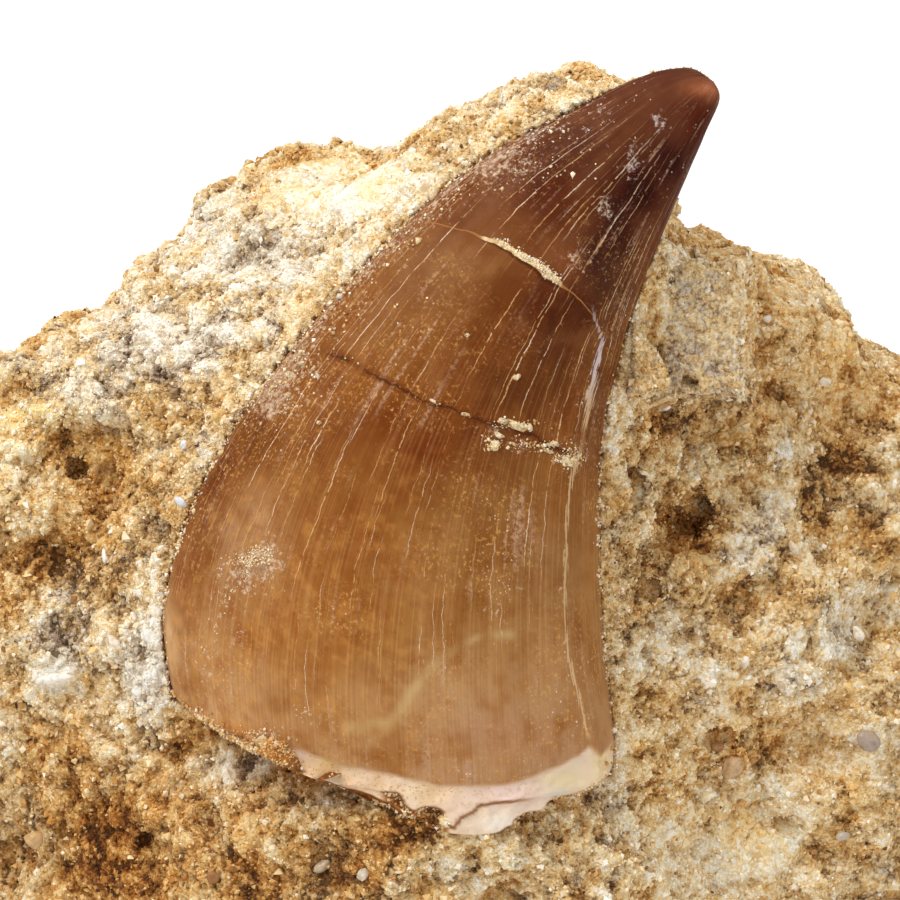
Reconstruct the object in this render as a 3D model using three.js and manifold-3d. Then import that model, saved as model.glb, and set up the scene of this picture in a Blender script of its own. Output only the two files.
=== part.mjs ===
// A fossil mosasaur tooth, half freed from the block of phosphate sandstone that it was buried in.
// The tooth is one solid, from its pointed crown to the broken top of its root, and the block is
// another, with a socket that follows the buried half of the tooth.
// Millimetres, +Z up. The origin is the middle of the block's footprint, on its flat underside.

import * as THREE from "three";
import { mergeVertices } from "three/addons/utils/BufferGeometryUtils.js";
import Module from "manifold-3d";

const wasm = await Module();
wasm.setup();

// The worked face: the tooth and the front of the block are drawn on it as (u, v, w), with u to
// the right, v up the face and w out of it. Its outward normal rises above the horizon.
const FACE_RISE = THREE.MathUtils.degToRad(40);
const FACE_ORIGIN = new THREE.Vector3(0.54, -5.42, 21.0);

// ---------------------------------------------------------------- tooth
// Left and right edges of the tooth on the face: the broken end of the root, the lower edge of the
// enamel, and so on up to the tip of the crown.
const LEFT_EDGE = [
  [-12.3, -10.8],
  [-12.4, -10.4],
  [-12.7, -7.1],
  [-11.5, -2.7],
  [-8.7, 2.2],
  [-4.3, 7.6],
  [0.9, 12.4],
  [5.8, 15.2],
  [8.6, 16.5],
  [10.5, 16.8],
  [11.6, 16.2],
];
const RIGHT_EDGE = [
  [7.2, -14.2],
  [7.3, -13.1],
  [6.8, -8.4],
  [6.6, -4.0],
  [6.7, 0.4],
  [7.5, 4.2],
  [8.7, 7.8],
  [10.1, 11.3],
  [11.2, 13.9],
  [11.85, 15.4],
  [11.6, 16.2],
];
const FRONT_BULGE = 0.56; // how far a section stands out, as a share of its half width
const BACK_BULGE = 0.62;
const BASE_SAG = 2.9; // how far the front of the lowest section hangs below its sides
const TIP_RISE = 3.4; // how far the curve of the tooth lifts its tip out of the face
// Where the cutting edge runs round the section: stations from the root and degrees.
const CARINA_PATH = [
  [1, 27],
  [2, 33],
  [4, 31],
  [5.1, 29],
  [5.5, 52],
  [6.2, 58],
  [7.4, 50],
  [8.2, 34],
  [10, 16],
];
const CARINA_HEIGHT = 0.055; // as a share of the section
const CARINA_SPREAD = 0.2; // radians
const ROOT_STEP = 0.25; // the root lies this far in from the enamel
const ROOT_TONGUE = { turn: 60, spread: 28, depth: 1.35 }; // a broken tongue of root below the rim
const ROOT_RINGS = [0, 0.45, 0.9];
const CROWN_RINGS = 28;
const TOOTH_SIDES = 34;
const SOCKET_GAP = 0.3;

// ---------------------------------------------------------------- block
// The block seen square to the face: every side wall runs straight back from this outline.
const OUTLINE = [
  [29.0, -7.0],
  [25.6, -0.6],
  [20.8, 4.6],
  [17.6, 7.4],
  [13.4, 8.9],
  [10.2, 9.9],
  [8.9, 13.2],
  [7.6, 16.1],
  [4.9, 16.6],
  [1.3, 14.8],
  [-3.1, 13.4],
  [-8.2, 13.3],
  [-12.9, 9.8],
  [-17.2, 5.3],
  [-21.0, 3.2],
  [-26.0, 0.2],
  [-29.2, -6.5],
  [-30.0, -16.0],
  [-26.0, -26.0],
  [-14.0, -31.0],
  [0.0, -32.0],
  [14.0, -31.0],
  [26.0, -26.0],
  [30.0, -16.0],
];
const HEART = new THREE.Vector3(0, -2.2, -13); // the point inside that the block is measured from
// Broken faces: an outward normal on (u, v, w) and the distance from the heart.
const BROKEN_FACES = [
  { normal: [0, 0, 1], reach: 12.0 },
  { normal: [0.35, 0.05, 0.93], reach: 13.3 },
  { normal: [-0.42, 0.5, 0.757], reach: 17.4 },
  { normal: [-0.25, -0.1, 0.963], reach: 15.6 },
  { normal: [0, -0.25, 0.968], reach: 15.8 },
  { normal: [0.3, -0.2, 0.93], reach: 16.2 },
  { normal: [0, 0.643, -0.766], reach: 17.5 },
  { normal: [-0.7, 0.53, -0.47], reach: 24 },
  { normal: [0.75, 0.42, -0.51], reach: 23 },
];
const EDGE_CRISPNESS = 11; // the higher, the sharper the edges between broken faces
// Sand still banked against the tooth, level with its widest line and thinning out sideways.
const BANK = { above: 0.2, width: 2.8 };
// Lumps and hollows of the front: where they lie on the face, their half sizes, and their height.
const FORMS = {
  bed_below_the_root: { at: [-1.8, -18.4], half: [11.5, 6.8], rise: 5.6 },
  crest_left_of_the_tip: { at: [4.6, 15.0], half: [3.4, 2.2], rise: 0.8 },
  left_brow: { at: [-17.0, 2.4], half: [5.6, 1.9], rise: 1.0 },
  left_hollow: { at: [-16.6, -1.4], half: [2.6, 1.7], rise: -1.1 },
  low_left_hollow: { at: [-13.4, -18.0], half: [2.0, 1.6], rise: -1.2 },
  right_shelf: { at: [15.5, -9.5], half: [4.5, 3.0], rise: 0.9 },
};
// Pieces of harder stone that stand out of the front: middle, half sizes, how far the outer end
// stands proud of the skin, and a lean in degrees.
const SLABS = {
  slab_right_of_the_crown: { at: [10.2, 5.3], half: [3.0, 3.6, 3.0], proud: 0.8, lean: [8, 2, -3] },
};
const SLAB_TAPER = 0.86; // the outer end of a slab, as a share of its root
const KNOBS = {
  nodule: { at: [-7.4, 13.0], half: [1.5, 1.1, 1.1], proud: 0.7, lean: [0, 0, 10] },
  bright_chip: { at: [-5.0, 11.7], half: [2.7, 1.5, 1.4], proud: 0.3, lean: [-12, -10, 8] },
  below_the_slab: { at: [12.4, -0.2], half: [2.0, 1.5, 1.6], proud: 0.7, lean: [15, 20, 30] },
  beside_the_pit: { at: [13.4, -3.2], half: [1.7, 1.3, 1.3], proud: 0.6, lean: [-20, 10, 50] },
  pale_on_the_right: { at: [16.2, -6.0], half: [2.3, 1.5, 1.3], proud: 0.5, lean: [10, -15, -40] },
  far_right: { at: [18.9, -10.2], half: [2.0, 1.5, 1.3], proud: 0.6, lean: [-10, 25, -30] },
  clear_grain_low_right: { at: [12.8, -14.3], half: [1.2, 1.0, 1.0], proud: 0.6, lean: [30, 0, 20] },
  grey_grain_low_right: { at: [18.7, -15.3], half: [1.6, 1.2, 1.1], proud: 0.5, lean: [0, 30, 70] },
  near_the_root: { at: [8.6, -18.6], half: [1.8, 1.3, 1.1], proud: 0.5, lean: [20, -10, 15] },
  brow: { at: [-16.4, 1.7], half: [2.4, 1.3, 1.3], proud: 0.6, lean: [10, -20, 12] },
  brow_end: { at: [-19.8, 0.6], half: [1.9, 1.3, 1.2], proud: 0.6, lean: [-20, 10, -15] },
  by_the_left_edge: { at: [-13.7, -1.6], half: [1.4, 1.1, 1.0], proud: 0.4, lean: [0, 15, 35] },
  mid_left: { at: [-17.6, -6.6], half: [2.0, 1.4, 1.2], proud: 0.5, lean: [15, 0, -20] },
  pale_flake: { at: [-17.2, -11.6], half: [1.8, 1.2, 1.1], proud: 0.5, lean: [-15, 15, 15] },
  low_left: { at: [-18.3, -16.8], half: [1.7, 1.4, 1.3], proud: 0.6, lean: [25, 10, 40] },
  below_the_left_edge: { at: [-10.6, -15.4], half: [1.9, 1.3, 1.0], proud: 0.4, lean: [0, -20, -25] },
  at_the_foot: { at: [-5.5, -20.6], half: [2.0, 1.4, 1.2], proud: 0.5, lean: [10, 20, 5] },
};
// Pits that reach in past the grains: middle and half sizes.
const PITS = {
  deep_pit: { at: [10.4, -3.3], half: [1.2, 1.4, 1.9] },
  pits_under_the_slab: { at: [10.5, 1.3], half: [0.9, 0.5, 0.9] },
  pit_by_the_edge: { at: [9.0, -6.3], half: [0.45, 0.45, 0.9] },
  pit_low_on_the_right: { at: [12.0, -12.9], half: [0.8, 0.6, 1.0] },
  pit_on_the_far_right: { at: [15.2, -17.0], half: [0.7, 0.6, 0.9] },
  hollow_below_the_brow: { at: [-16.7, -0.7], half: [1.0, 0.7, 1.0] },
  hollow_low_on_the_left: { at: [-13.2, -17.7], half: [1.1, 0.9, 1.0] },
};
// Rounded swells with creases between them: wave vector in radians per mm, height and phase.
const SWELLS = [
  { wave: [0.19, 0.11, 0.13], height: 1.1, phase: 0.4 },
  { wave: [-0.13, 0.24, 0.08], height: 1.0, phase: 2.1 },
  { wave: [0.41, -0.3, 0.36], height: 0.6, phase: 4.0 },
  { wave: [-0.5, -0.46, 0.25], height: 0.5, phase: 1.2 },
  { wave: [0.17, 0.66, -0.56], height: 0.45, phase: 5.3 },
  { wave: [0.71, 0.28, 0.3], height: 0.4, phase: 2.9 },
  { wave: [-0.35, 0.72, 0.33], height: 0.4, phase: 0.9 },
];
const SWELL_BEND = 1.3; // mm that the swells are pulled sideways, so that no crease is straight
const BLOCK_COLUMNS = 90;
const FRONT_ROWS = 21;
const BACK_ROWS = 14;
const FRONT_SPAN = THREE.MathUtils.degToRad(66); // the angle at the heart that the front rows cover

const stoneMaterial = new THREE.MeshStandardMaterial({ color: 0xc9ab7d, roughness: 0.95, metalness: 0 });
const toothMaterial = new THREE.MeshStandardMaterial({ color: 0x9a6436, roughness: 0.4, metalness: 0 });

// The place of the face in the part's own frame.
function facePlace() {
  const up = new THREE.Vector3(0, Math.sin(FACE_RISE), Math.cos(FACE_RISE));
  const out = new THREE.Vector3(0, -Math.cos(FACE_RISE), Math.sin(FACE_RISE));
  return new THREE.Matrix4().makeBasis(new THREE.Vector3(1, 0, 0), up, out).setPosition(FACE_ORIGIN);
}

// Joins rings of points into a closed skin, with a single point to close each end.
function closedSkin(firstPole, rings, lastPole) {
  const sides = rings[0].length;
  const points = [firstPole, ...rings.flat(), lastPole];
  const index = [];
  for (let j = 0; j < sides; j++) {
    const k = (j + 1) % sides;
    index.push(0, 1 + j, 1 + k);
    for (let i = 0; i + 1 < rings.length; i++) {
      const near = 1 + i * sides;
      const far = near + sides;
      index.push(near + j, far + j, far + k, near + j, far + k, near + k);
    }
    const last = 1 + (rings.length - 1) * sides;
    index.push(points.length - 1, last + k, last + j);
  }
  return new THREE.BufferGeometry().setFromPoints(points).setIndex(index);
}

// A closed geometry as a solid that can be cut and joined.
function toSolid(geometry) {
  const bare = geometry.clone();
  bare.deleteAttribute("normal");
  bare.deleteAttribute("uv");
  const merged = mergeVertices(bare, 1e-4);
  const mesh = new wasm.Mesh({
    numProp: 3,
    vertProperties: merged.attributes.position.array,
    triVerts: new Uint32Array(merged.index.array),
  });
  return new wasm.Manifold(mesh);
}

function toGeometry(solid) {
  const mesh = solid.getMesh();
  const geometry = new THREE.BufferGeometry();
  geometry.setAttribute("position", new THREE.BufferAttribute(mesh.vertProperties, mesh.numProp));
  geometry.setIndex(new THREE.BufferAttribute(mesh.triVerts, 1));
  return geometry;
}

const smooth = (x) => THREE.MathUtils.smoothstep(x, 0, 1);
const STATIONS = LEFT_EDGE.length - 1;
const leftCurve = new THREE.SplineCurve(LEFT_EDGE.map((p) => new THREE.Vector2(...p)));
const rightCurve = new THREE.SplineCurve(RIGHT_EDGE.map((p) => new THREE.Vector2(...p)));

// Share of the way from the edge of the enamel to the tip.
const crownShare = (station) => Math.max(0, (station - 1) / (STATIONS - 1));

// Height over the face of the widest line of the tooth.
const toothLevel = (station) => TIP_RISE * (1 - (1 - crownShare(station)) ** 2);

function carinaTurn(station) {
  const next = Math.max(1, CARINA_PATH.findIndex(([at]) => at >= station));
  const [from, low] = CARINA_PATH[next - 1];
  const [to, high] = CARINA_PATH[next];
  return THREE.MathUtils.degToRad(low + (high - low) * smooth((station - from) / (to - from)));
}

// A point of the tooth's skin: station counts along the edges from the root, turn goes round the
// section from the right edge over the front, and grow is how far out of the true skin it lies.
function toothPoint(station, turn, grow) {
  const left = leftCurve.getPoint(station / STATIONS);
  const right = rightCurve.getPoint(station / STATIONS);
  const centre = left.clone().add(right).multiplyScalar(0.5);
  const across = right.clone().sub(left).multiplyScalar(0.5);
  const inset = station < 1 ? ROOT_STEP : 0;
  const half = across.length() - inset;
  across.normalize();
  const along = new THREE.Vector2(-across.y, across.x);
  const ridge = 1 + CARINA_HEIGHT * Math.exp(-Math.abs(turn - carinaTurn(station)) / CARINA_SPREAD);
  const bulge = Math.sin(turn) > 0 ? FRONT_BULGE : BACK_BULGE;
  const sideways = (half * ridge + grow) * Math.cos(turn);
  const outwards = (half * bulge * ridge + grow) * Math.sin(turn);
  const onTheFront = Math.max(0, Math.sin(turn)) ** 2;
  const offTongue = (THREE.MathUtils.radToDeg(turn) - ROOT_TONGUE.turn) / ROOT_TONGUE.spread;
  const tongue = ROOT_TONGUE.depth * Math.exp(-offTongue * offTongue) * Math.max(0, 1 - station);
  const drop = BASE_SAG * (1 - crownShare(station)) ** 2 * onTheFront + tongue;
  return new THREE.Vector3(
    centre.x + across.x * sideways - along.x * drop,
    centre.y + across.y * sideways - along.y * drop,
    toothLevel(station) + outwards,
  );
}

// The skin of the tooth on the face, from its root end to its tip.
function toothSkin(grow) {
  const stations = [...ROOT_RINGS];
  for (let i = 0; i < CROWN_RINGS; i++)
    stations.push(STATIONS - (STATIONS - 1) * (1 - i / CROWN_RINGS) ** 1.15);
  const rings = stations.map((station) => {
    const ring = [];
    for (let j = 0; j < TOOTH_SIDES; j++)
      ring.push(toothPoint(station, (2 * Math.PI * j) / TOOTH_SIDES, grow));
    return ring;
  });
  const rootward = new THREE.Vector3(-0.15, -0.98, 0);
  rings[0].forEach((p) => p.addScaledVector(rootward, grow));
  const rootEnd = rings[0].reduce((sum, p) => sum.add(p), new THREE.Vector3());
  rootEnd.divideScalar(TOOTH_SIDES);
  const tip = new THREE.Vector3(...LEFT_EDGE.at(-1), TIP_RISE);
  tip.addScaledVector(new THREE.Vector3(0.71, 0.7, 0), grow);
  return closedSkin(rootEnd, rings, tip);
}

// How far a lump, hollow or swell lifts the skin of the block at a point.
function relief(point, facing) {
  let lift = 0;
  for (const { at, half, rise } of Object.values(FORMS)) {
    const far = ((point.x - at[0]) / half[0]) ** 2 + ((point.y - at[1]) / half[1]) ** 2;
    lift += rise * Math.exp(-far * far);
  }
  lift *= smooth(facing / 0.5);
  const bent = point.clone();
  bent.x += SWELL_BEND * Math.sin(0.35 * point.y + 0.2 * point.z);
  bent.y += SWELL_BEND * Math.sin(0.3 * point.z - 0.25 * point.x);
  bent.z += SWELL_BEND * Math.sin(0.4 * point.x + 0.15 * point.y);
  for (const { wave, height, phase } of SWELLS)
    lift += height * (Math.abs(Math.sin(bent.dot(new THREE.Vector3(...wave)) + phase)) - 0.6);
  return lift;
}

// Lifts a point of the front towards the widest line of the tooth, the nearer the more.
function bankUp(point, facing) {
  let nearest = Infinity;
  let level = 0;
  const here = new THREE.Vector2(point.x, point.y);
  const section = new THREE.Line3();
  for (let station = 0; station <= STATIONS; station += 0.25) {
    const left = leftCurve.getPoint(station / STATIONS);
    const right = rightCurve.getPoint(station / STATIONS);
    section.set(new THREE.Vector3(left.x, left.y, 0), new THREE.Vector3(right.x, right.y, 0));
    const on = section.closestPointToPoint(new THREE.Vector3(here.x, here.y, 0), true, new THREE.Vector3());
    const far = Math.hypot(on.x - here.x, on.y - here.y);
    if (far < nearest) {
      nearest = far;
      level = toothLevel(station) + BANK.above;
    }
  }
  const share = Math.exp(-((nearest / BANK.width) ** 2)) * smooth(facing / 0.5);
  point.z += Math.max(0, level - point.z) * share;
}

// The skin of the block on the face, before it is cut off flat below. From the heart, each point
// lies where the outline and the broken faces together stop it.
function blockSkin() {
  const corners = OUTLINE.map(([u, v]) => new THREE.Vector3(u, v, 0));
  const rim = new THREE.CatmullRomCurve3(corners, true, "catmullrom", 0.5).getPoints(BLOCK_COLUMNS);
  const reachOf = (direction, wall) => {
    let sum = (Math.hypot(direction.x, direction.y) / wall) ** EDGE_CRISPNESS;
    for (const { normal, reach } of BROKEN_FACES)
      sum += (Math.max(0, direction.dot(new THREE.Vector3(...normal))) / reach) ** EDGE_CRISPNESS;
    return sum ** (-1 / EDGE_CRISPNESS);
  };
  const angles = [];
  for (let i = 1; i <= FRONT_ROWS; i++)
    angles.push(Math.atan((Math.tan(FRONT_SPAN) * i) / FRONT_ROWS));
  for (let i = 1; i < BACK_ROWS; i++)
    angles.push(FRONT_SPAN + ((Math.PI - FRONT_SPAN) * i) / BACK_ROWS);
  const rings = angles.map((angle) =>
    rim.slice(0, BLOCK_COLUMNS).map((corner) => {
      const sideways = new THREE.Vector3(corner.x - HEART.x, corner.y - HEART.y, 0);
      const wall = sideways.length();
      sideways.normalize().multiplyScalar(Math.sin(angle));
      const direction = sideways.add(new THREE.Vector3(0, 0, Math.cos(angle)));
      return direction.multiplyScalar(reachOf(direction, wall)).add(HEART);
    }),
  );
  const pole = (z) => {
    const direction = new THREE.Vector3(0, 0, z);
    return direction.multiplyScalar(reachOf(direction, 1)).add(HEART);
  };
  const skin = closedSkin(pole(1), rings, pole(-1));
  skin.computeVertexNormals();
  const { position, normal } = skin.attributes;
  for (let i = 0; i < position.count; i++) {
    const point = new THREE.Vector3().fromBufferAttribute(position, i);
    const facing = new THREE.Vector3().fromBufferAttribute(normal, i);
    point.addScaledVector(facing, relief(point, facing.z));
    bankUp(point, facing.z);
    position.setXYZ(i, ...point);
  }
  return skin;
}

// Height of the front of a skin over a place on the face.
function heightOver(skinMesh, [u, v]) {
  const towardsIt = new THREE.Raycaster(new THREE.Vector3(u, v, 100), new THREE.Vector3(0, 0, -1));
  return towardsIt.intersectObject(skinMesh)[0].point.z;
}

const leaned = (geometry, lean) => {
  const turns = lean.map((degrees) => THREE.MathUtils.degToRad(degrees));
  return geometry.applyMatrix4(new THREE.Matrix4().makeRotationFromEuler(new THREE.Euler(...turns)));
};

// A squared piece that narrows outwards.
function slabGeometry(half) {
  const geometry = new THREE.BoxGeometry(2 * half[0], 2 * half[1], 2 * half[2]);
  const { position } = geometry.attributes;
  for (let i = 0; i < position.count; i++)
    if (position.getZ(i) > 0)
      position.setXY(i, position.getX(i) * SLAB_TAPER, position.getY(i) * SLAB_TAPER);
  return geometry;
}

const place = facePlace();
const onFace = (geometry) => toSolid(geometry.applyMatrix4(place));
const toothSolid = onFace(toothSkin(0));
const FLOOR_SLAB = [120, 120, 60]; // what is cut away below the flat underside
const belowBase = toSolid(new THREE.BoxGeometry(...FLOOR_SLAB).translate(0, 0, -FLOOR_SLAB[2] / 2));
const skin = new THREE.Mesh(blockSkin());
let blockSolid = onFace(skin.geometry.clone());
for (const { at, half, proud, lean } of Object.values(SLABS)) {
  const middle = heightOver(skin, at) + proud - half[2];
  blockSolid = blockSolid.add(onFace(leaned(slabGeometry(half), lean).translate(...at, middle)));
}
for (const { at, half, proud, lean } of Object.values(KNOBS)) {
  const knob = leaned(new THREE.DodecahedronGeometry(1).scale(...half), lean);
  blockSolid = blockSolid.add(onFace(knob.translate(...at, heightOver(skin, at) + proud - half[2])));
}
for (const { at, half } of Object.values(PITS)) {
  const pit = new THREE.IcosahedronGeometry(1, 1).scale(...half);
  blockSolid = blockSolid.subtract(onFace(pit.translate(...at, heightOver(skin, at))));
}
blockSolid = blockSolid.subtract(belowBase).subtract(onFace(toothSkin(SOCKET_GAP)));

const tooth = new THREE.Mesh(toGeometry(toothSolid), toothMaterial);
tooth.name = "tooth";

const matrix = new THREE.Mesh(toGeometry(blockSolid), stoneMaterial);
matrix.name = "matrix_block";

const specimen = new THREE.Group();
specimen.name = "mosasaur_tooth_in_matrix";
specimen.add(matrix, tooth);

export default specimen;
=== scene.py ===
import math

import bpy
import numpy as np
from mathutils import Matrix, Vector


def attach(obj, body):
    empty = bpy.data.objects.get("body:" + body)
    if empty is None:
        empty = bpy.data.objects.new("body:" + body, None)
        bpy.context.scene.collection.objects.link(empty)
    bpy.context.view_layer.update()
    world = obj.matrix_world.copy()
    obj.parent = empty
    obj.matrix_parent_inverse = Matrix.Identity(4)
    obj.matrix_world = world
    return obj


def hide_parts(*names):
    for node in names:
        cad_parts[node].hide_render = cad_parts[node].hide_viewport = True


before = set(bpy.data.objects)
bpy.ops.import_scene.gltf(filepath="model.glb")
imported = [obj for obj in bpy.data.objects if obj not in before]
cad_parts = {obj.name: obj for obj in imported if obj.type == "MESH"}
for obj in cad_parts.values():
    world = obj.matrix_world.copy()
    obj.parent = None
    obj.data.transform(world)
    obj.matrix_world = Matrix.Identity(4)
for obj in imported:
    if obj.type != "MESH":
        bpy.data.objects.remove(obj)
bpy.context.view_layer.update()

# ---------------------------------------------------------------- camera
# A long macro lens square to the worked face of the block, which leans back from the upright.

FACE_RISE = math.radians(40)
FACE_ORIGIN = np.array([0.54, -5.42, 21.0])
ACROSS = np.array([1.0, 0.0, 0.0])
UP_FACE = np.array([0.0, math.sin(FACE_RISE), math.cos(FACE_RISE)])
OUT_OF_FACE = np.array([0.0, -math.cos(FACE_RISE), math.sin(FACE_RISE)])
WORKING_DISTANCE, WIDTH_SEEN, SENSOR = 300.0, 40, 36
MM_IN_A_METRE = 1000


def in_the_part(face_points):
    """Points given as (u, v, w) mm on the worked face, moved into the part's frame, still in mm:
    the face's origin plus u steps across, v steps up the face and w steps out of it."""
    axes = np.stack([ACROSS, UP_FACE, OUT_OF_FACE])
    return FACE_ORIGIN + np.asarray(face_points, float) @ axes


def placed(name, data):
    """An object of this name with this data, linked into the scene."""
    thing = bpy.data.objects.new(name, data)
    bpy.context.scene.collection.objects.link(thing)
    return thing


lens = bpy.data.cameras.new("macro_lens")
lens.sensor_width = SENSOR
lens.lens = SENSOR * WORKING_DISTANCE / WIDTH_SEEN
lens.clip_start, lens.clip_end = 0.01, 20
camera = placed("camera", lens)
turned = Matrix([Vector(ACROSS), Vector(UP_FACE), Vector(OUT_OF_FACE)]).transposed().to_4x4()
stands = Vector(in_the_part([0, 0, WORKING_DISTANCE]) / MM_IN_A_METRE)
camera.matrix_world = Matrix.Translation(stands) @ turned
bpy.context.scene.camera = camera

# ---------------------------------------------------------------- tooth
# The crown and the stump of root below it, one piece of brown enamel over pale dentine. It lies
# on its side, keel to the right, and is still bedded to its widest line in the stone.

LEFT_EDGE = [
    (-12.3, -10.8), (-12.4, -10.4), (-12.7, -7.1), (-11.5, -2.7), (-8.7, 2.2), (-4.3, 7.6), (0.9, 12.4),
    (5.8, 15.2), (8.6, 16.5), (10.5, 16.8), (11.6, 16.2),
]
RIGHT_EDGE = [
    (7.2, -14.2), (7.3, -13.1), (6.8, -8.4), (6.6, -4.0), (6.7, 0.4), (7.5, 4.2), (8.7, 7.8), (10.1, 11.3),
    (11.2, 13.9), (11.85, 15.4), (11.6, 16.2),
]
TIP_STATION = len(LEFT_EDGE) - 1
FRONT_BULGE, BACK_BULGE = 0.56, 0.62
BASE_SAG, TIP_RISE = 2.9, 3.4
KEEL_STATIONS = [1, 2, 4, 5.1, 5.5, 6.2, 7.4, 8.2, 10]
KEEL_DEGREES = [27, 38, 38, 33, 52, 58, 53, 40, 18]
KEEL_HEIGHT, KEEL_SPREAD = 0.055, 0.2
TONGUE_TURN, TONGUE_SPREAD, TONGUE_DEPTH = 60, 28, 1.35
CHIP_TURN, CHIP_SPREAD, CHIP_DEPTH = 106, 18, 0.3


def eased(x):
    """Zero below 0, one above 1, and 3x^2 - 2x^3 between."""
    x = np.clip(x, 0, 1)
    return x * x * (3 - 2 * x)


def close_to(off, reach):
    """One where off is 0, and e to the power of less the square of off / reach elsewhere."""
    return np.exp(-((off / reach) ** 2))


def through(points, station, closed=False):
    """Catmull-Rom curve: between two points, the cubic whose slope at each of them is half of the
    step from the point before it to the point after it. Station counts the points from 0."""
    points = np.asarray(points, float)
    last = len(points) - 1
    start = np.clip(np.floor(station), 0, last if closed else last - 1).astype(int)
    x = (station - start)[..., None]
    if closed:
        before, here, there, beyond = (points[(start + k) % (last + 1)] for k in (-1, 0, 1, 2))
    else:
        before, here, there, beyond = (points[np.clip(start + k, 0, last)] for k in (-1, 0, 1, 2))
    leave, arrive = (there - before) / 2, (beyond - here) / 2
    curve = (1 - 3 * x**2 + 2 * x**3) * here + (3 * x**2 - 2 * x**3) * there
    return curve + (x - 2 * x**2 + x**3) * leave + (x**3 - x**2) * arrive


def crown_share(station):
    """Share of the way from the edge of the enamel to the tip."""
    return np.clip((station - 1) / (TIP_STATION - 1), 0, 1)


def tooth_level(station):
    """Height of the tooth's widest line over the face: it lifts off quickly, then levels out."""
    return TIP_RISE * (1 - (1 - crown_share(station)) ** 2)


def keel_turn(station):
    """Angle round the section at which the keel runs, eased between the angles known."""
    low = np.clip(np.searchsorted(KEEL_STATIONS, station) - 1, 0, len(KEEL_STATIONS) - 2)
    at, turns = np.array(KEEL_STATIONS), np.radians(KEEL_DEGREES)
    step = eased((station - at[low]) / (at[low + 1] - at[low]))
    return turns[low] + (turns[low + 1] - turns[low]) * step


def tooth_skin(station, turn):
    """A section at each station is an ellipse across the two edges, flatter in front than behind,
    raised to a keel at one angle, and its front hangs down by a sag that fades towards the tip.
    The stump below the enamel hangs further at its tongue and less where it is chipped."""
    left, right = through(LEFT_EDGE, station), through(RIGHT_EDGE, station)
    half = np.linalg.norm(right - left, axis=-1, keepdims=True) / 2
    across = (right - left) / (2 * np.maximum(half, 1e-6))
    along = np.stack([-across[..., 1], across[..., 0]], -1)
    half = half[..., 0]
    ridge = 1 + KEEL_HEIGHT * np.exp(-np.abs(turn - keel_turn(station)) / KEEL_SPREAD)
    bulge = np.where(np.sin(turn) > 0, FRONT_BULGE, BACK_BULGE)
    sideways = (half * ridge * np.cos(turn))[..., None]
    outwards = half * ridge * bulge * np.sin(turn)
    off_tongue = (np.degrees(turn) - TONGUE_TURN) / TONGUE_SPREAD
    off_chip = (np.degrees(turn) - CHIP_TURN) / CHIP_SPREAD
    tongue = TONGUE_DEPTH * np.exp(-off_tongue**2) - CHIP_DEPTH * np.exp(-off_chip**2)
    tongue = tongue * np.maximum(0, 1 - station)
    drop = BASE_SAG * (1 - crown_share(station)) ** 2 * np.maximum(0, np.sin(turn)) ** 2 + tongue
    on_face = (left + right) / 2 + across * sideways - along * drop[..., None]
    return np.concatenate([on_face, (tooth_level(station) + outwards)[..., None]], -1)


def facing_of(grid):
    """Unit normals of a grid of points that closes round its second axis: the step along crossed
    with the step round."""
    along = np.gradient(grid, axis=0)
    round_it = (np.roll(grid, -1, axis=1) - np.roll(grid, 1, axis=1)) / 2
    normal = np.cross(along, round_it)
    return normal / np.maximum(np.linalg.norm(normal, axis=-1, keepdims=True), 1e-12)


SAME_PLACE = 1e-9


def off_line(a, b, line):
    """Signed distance of points from a line of straight pieces, positive on its left. Where a
    corner is the nearest place, the side is that of the piece whose own line is further away."""
    best = np.full(np.shape(a), np.inf)
    beside = np.zeros(np.shape(a))
    for (a0, b0), (a1, b1) in zip(line, line[1:]):
        da, db = a1 - a0, b1 - b0
        share = np.clip(((a - a0) * da + (b - b0) * db) / (da * da + db * db), 0, 1)
        far = np.hypot(a - a0 - share * da, b - b0 - share * db)
        off = (da * (b - b0) - db * (a - a0)) / math.hypot(da, db)
        tied = np.abs(far - best) < SAME_PLACE
        nearer = (far < best - SAME_PLACE) | (tied & (np.abs(off) > np.abs(beside)))
        beside = np.where(nearer, off, beside)
        best = np.minimum(best, far)
    return best * np.where(beside < 0, -1.0, 1.0)


def patches(a, b, spots):
    """Sum of soft round spots, each a middle, two half sizes and a strength."""
    total = np.zeros(np.shape(a))
    for a0, b0, wide, high, strength in spots:
        total += strength * np.exp(-(((a - a0) / wide) ** 2) - ((b - b0) / high) ** 2)
    return total


WORD = 2**32
CELL_PRIMES = (73856093, 19349663, 83492791)
SEED_PRIME, FIRST_STIR, NEXT_STIR, LAST_STIR = 7919, 2654435761, 2246822519, 3266489917


def cell_code(cell, seed):
    """A whole number below 2^32 for each cell of a lattice, the same each time: its whole-number
    place times three primes, joined bit by bit, and then times another with the seed."""
    x, y, z = (cell[..., axis] * prime for axis, prime in enumerate(CELL_PRIMES))
    return ((x ^ y ^ z) + seed * SEED_PRIME) * FIRST_STIR % WORD


def stirred(code):
    """The next such number: the high bits are laid over the low ones, and the whole multiplied."""
    return (code ^ (code >> 15)) * NEXT_STIR % WORD


def lattice_noise(points, size, seed):
    """Smooth noise from -1 to 1: a random value at each corner of a lattice of cubes of this
    size, eased from corner to corner inside each cube."""
    scaled = points / size
    corner = np.floor(scaled).astype(np.int64)
    x = eased(scaled - corner)
    total = np.zeros(points.shape[:-1])
    for step in np.ndindex(2, 2, 2):
        code = stirred(cell_code(corner + np.array(step), seed))
        value = (code ^ (code >> 13)) / (WORD // 2) - 1
        share = np.where(np.array(step) > 0, x, 1 - x)
        total += value * (share[..., 0] * share[..., 1]) * share[..., 2]
    return total


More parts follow.
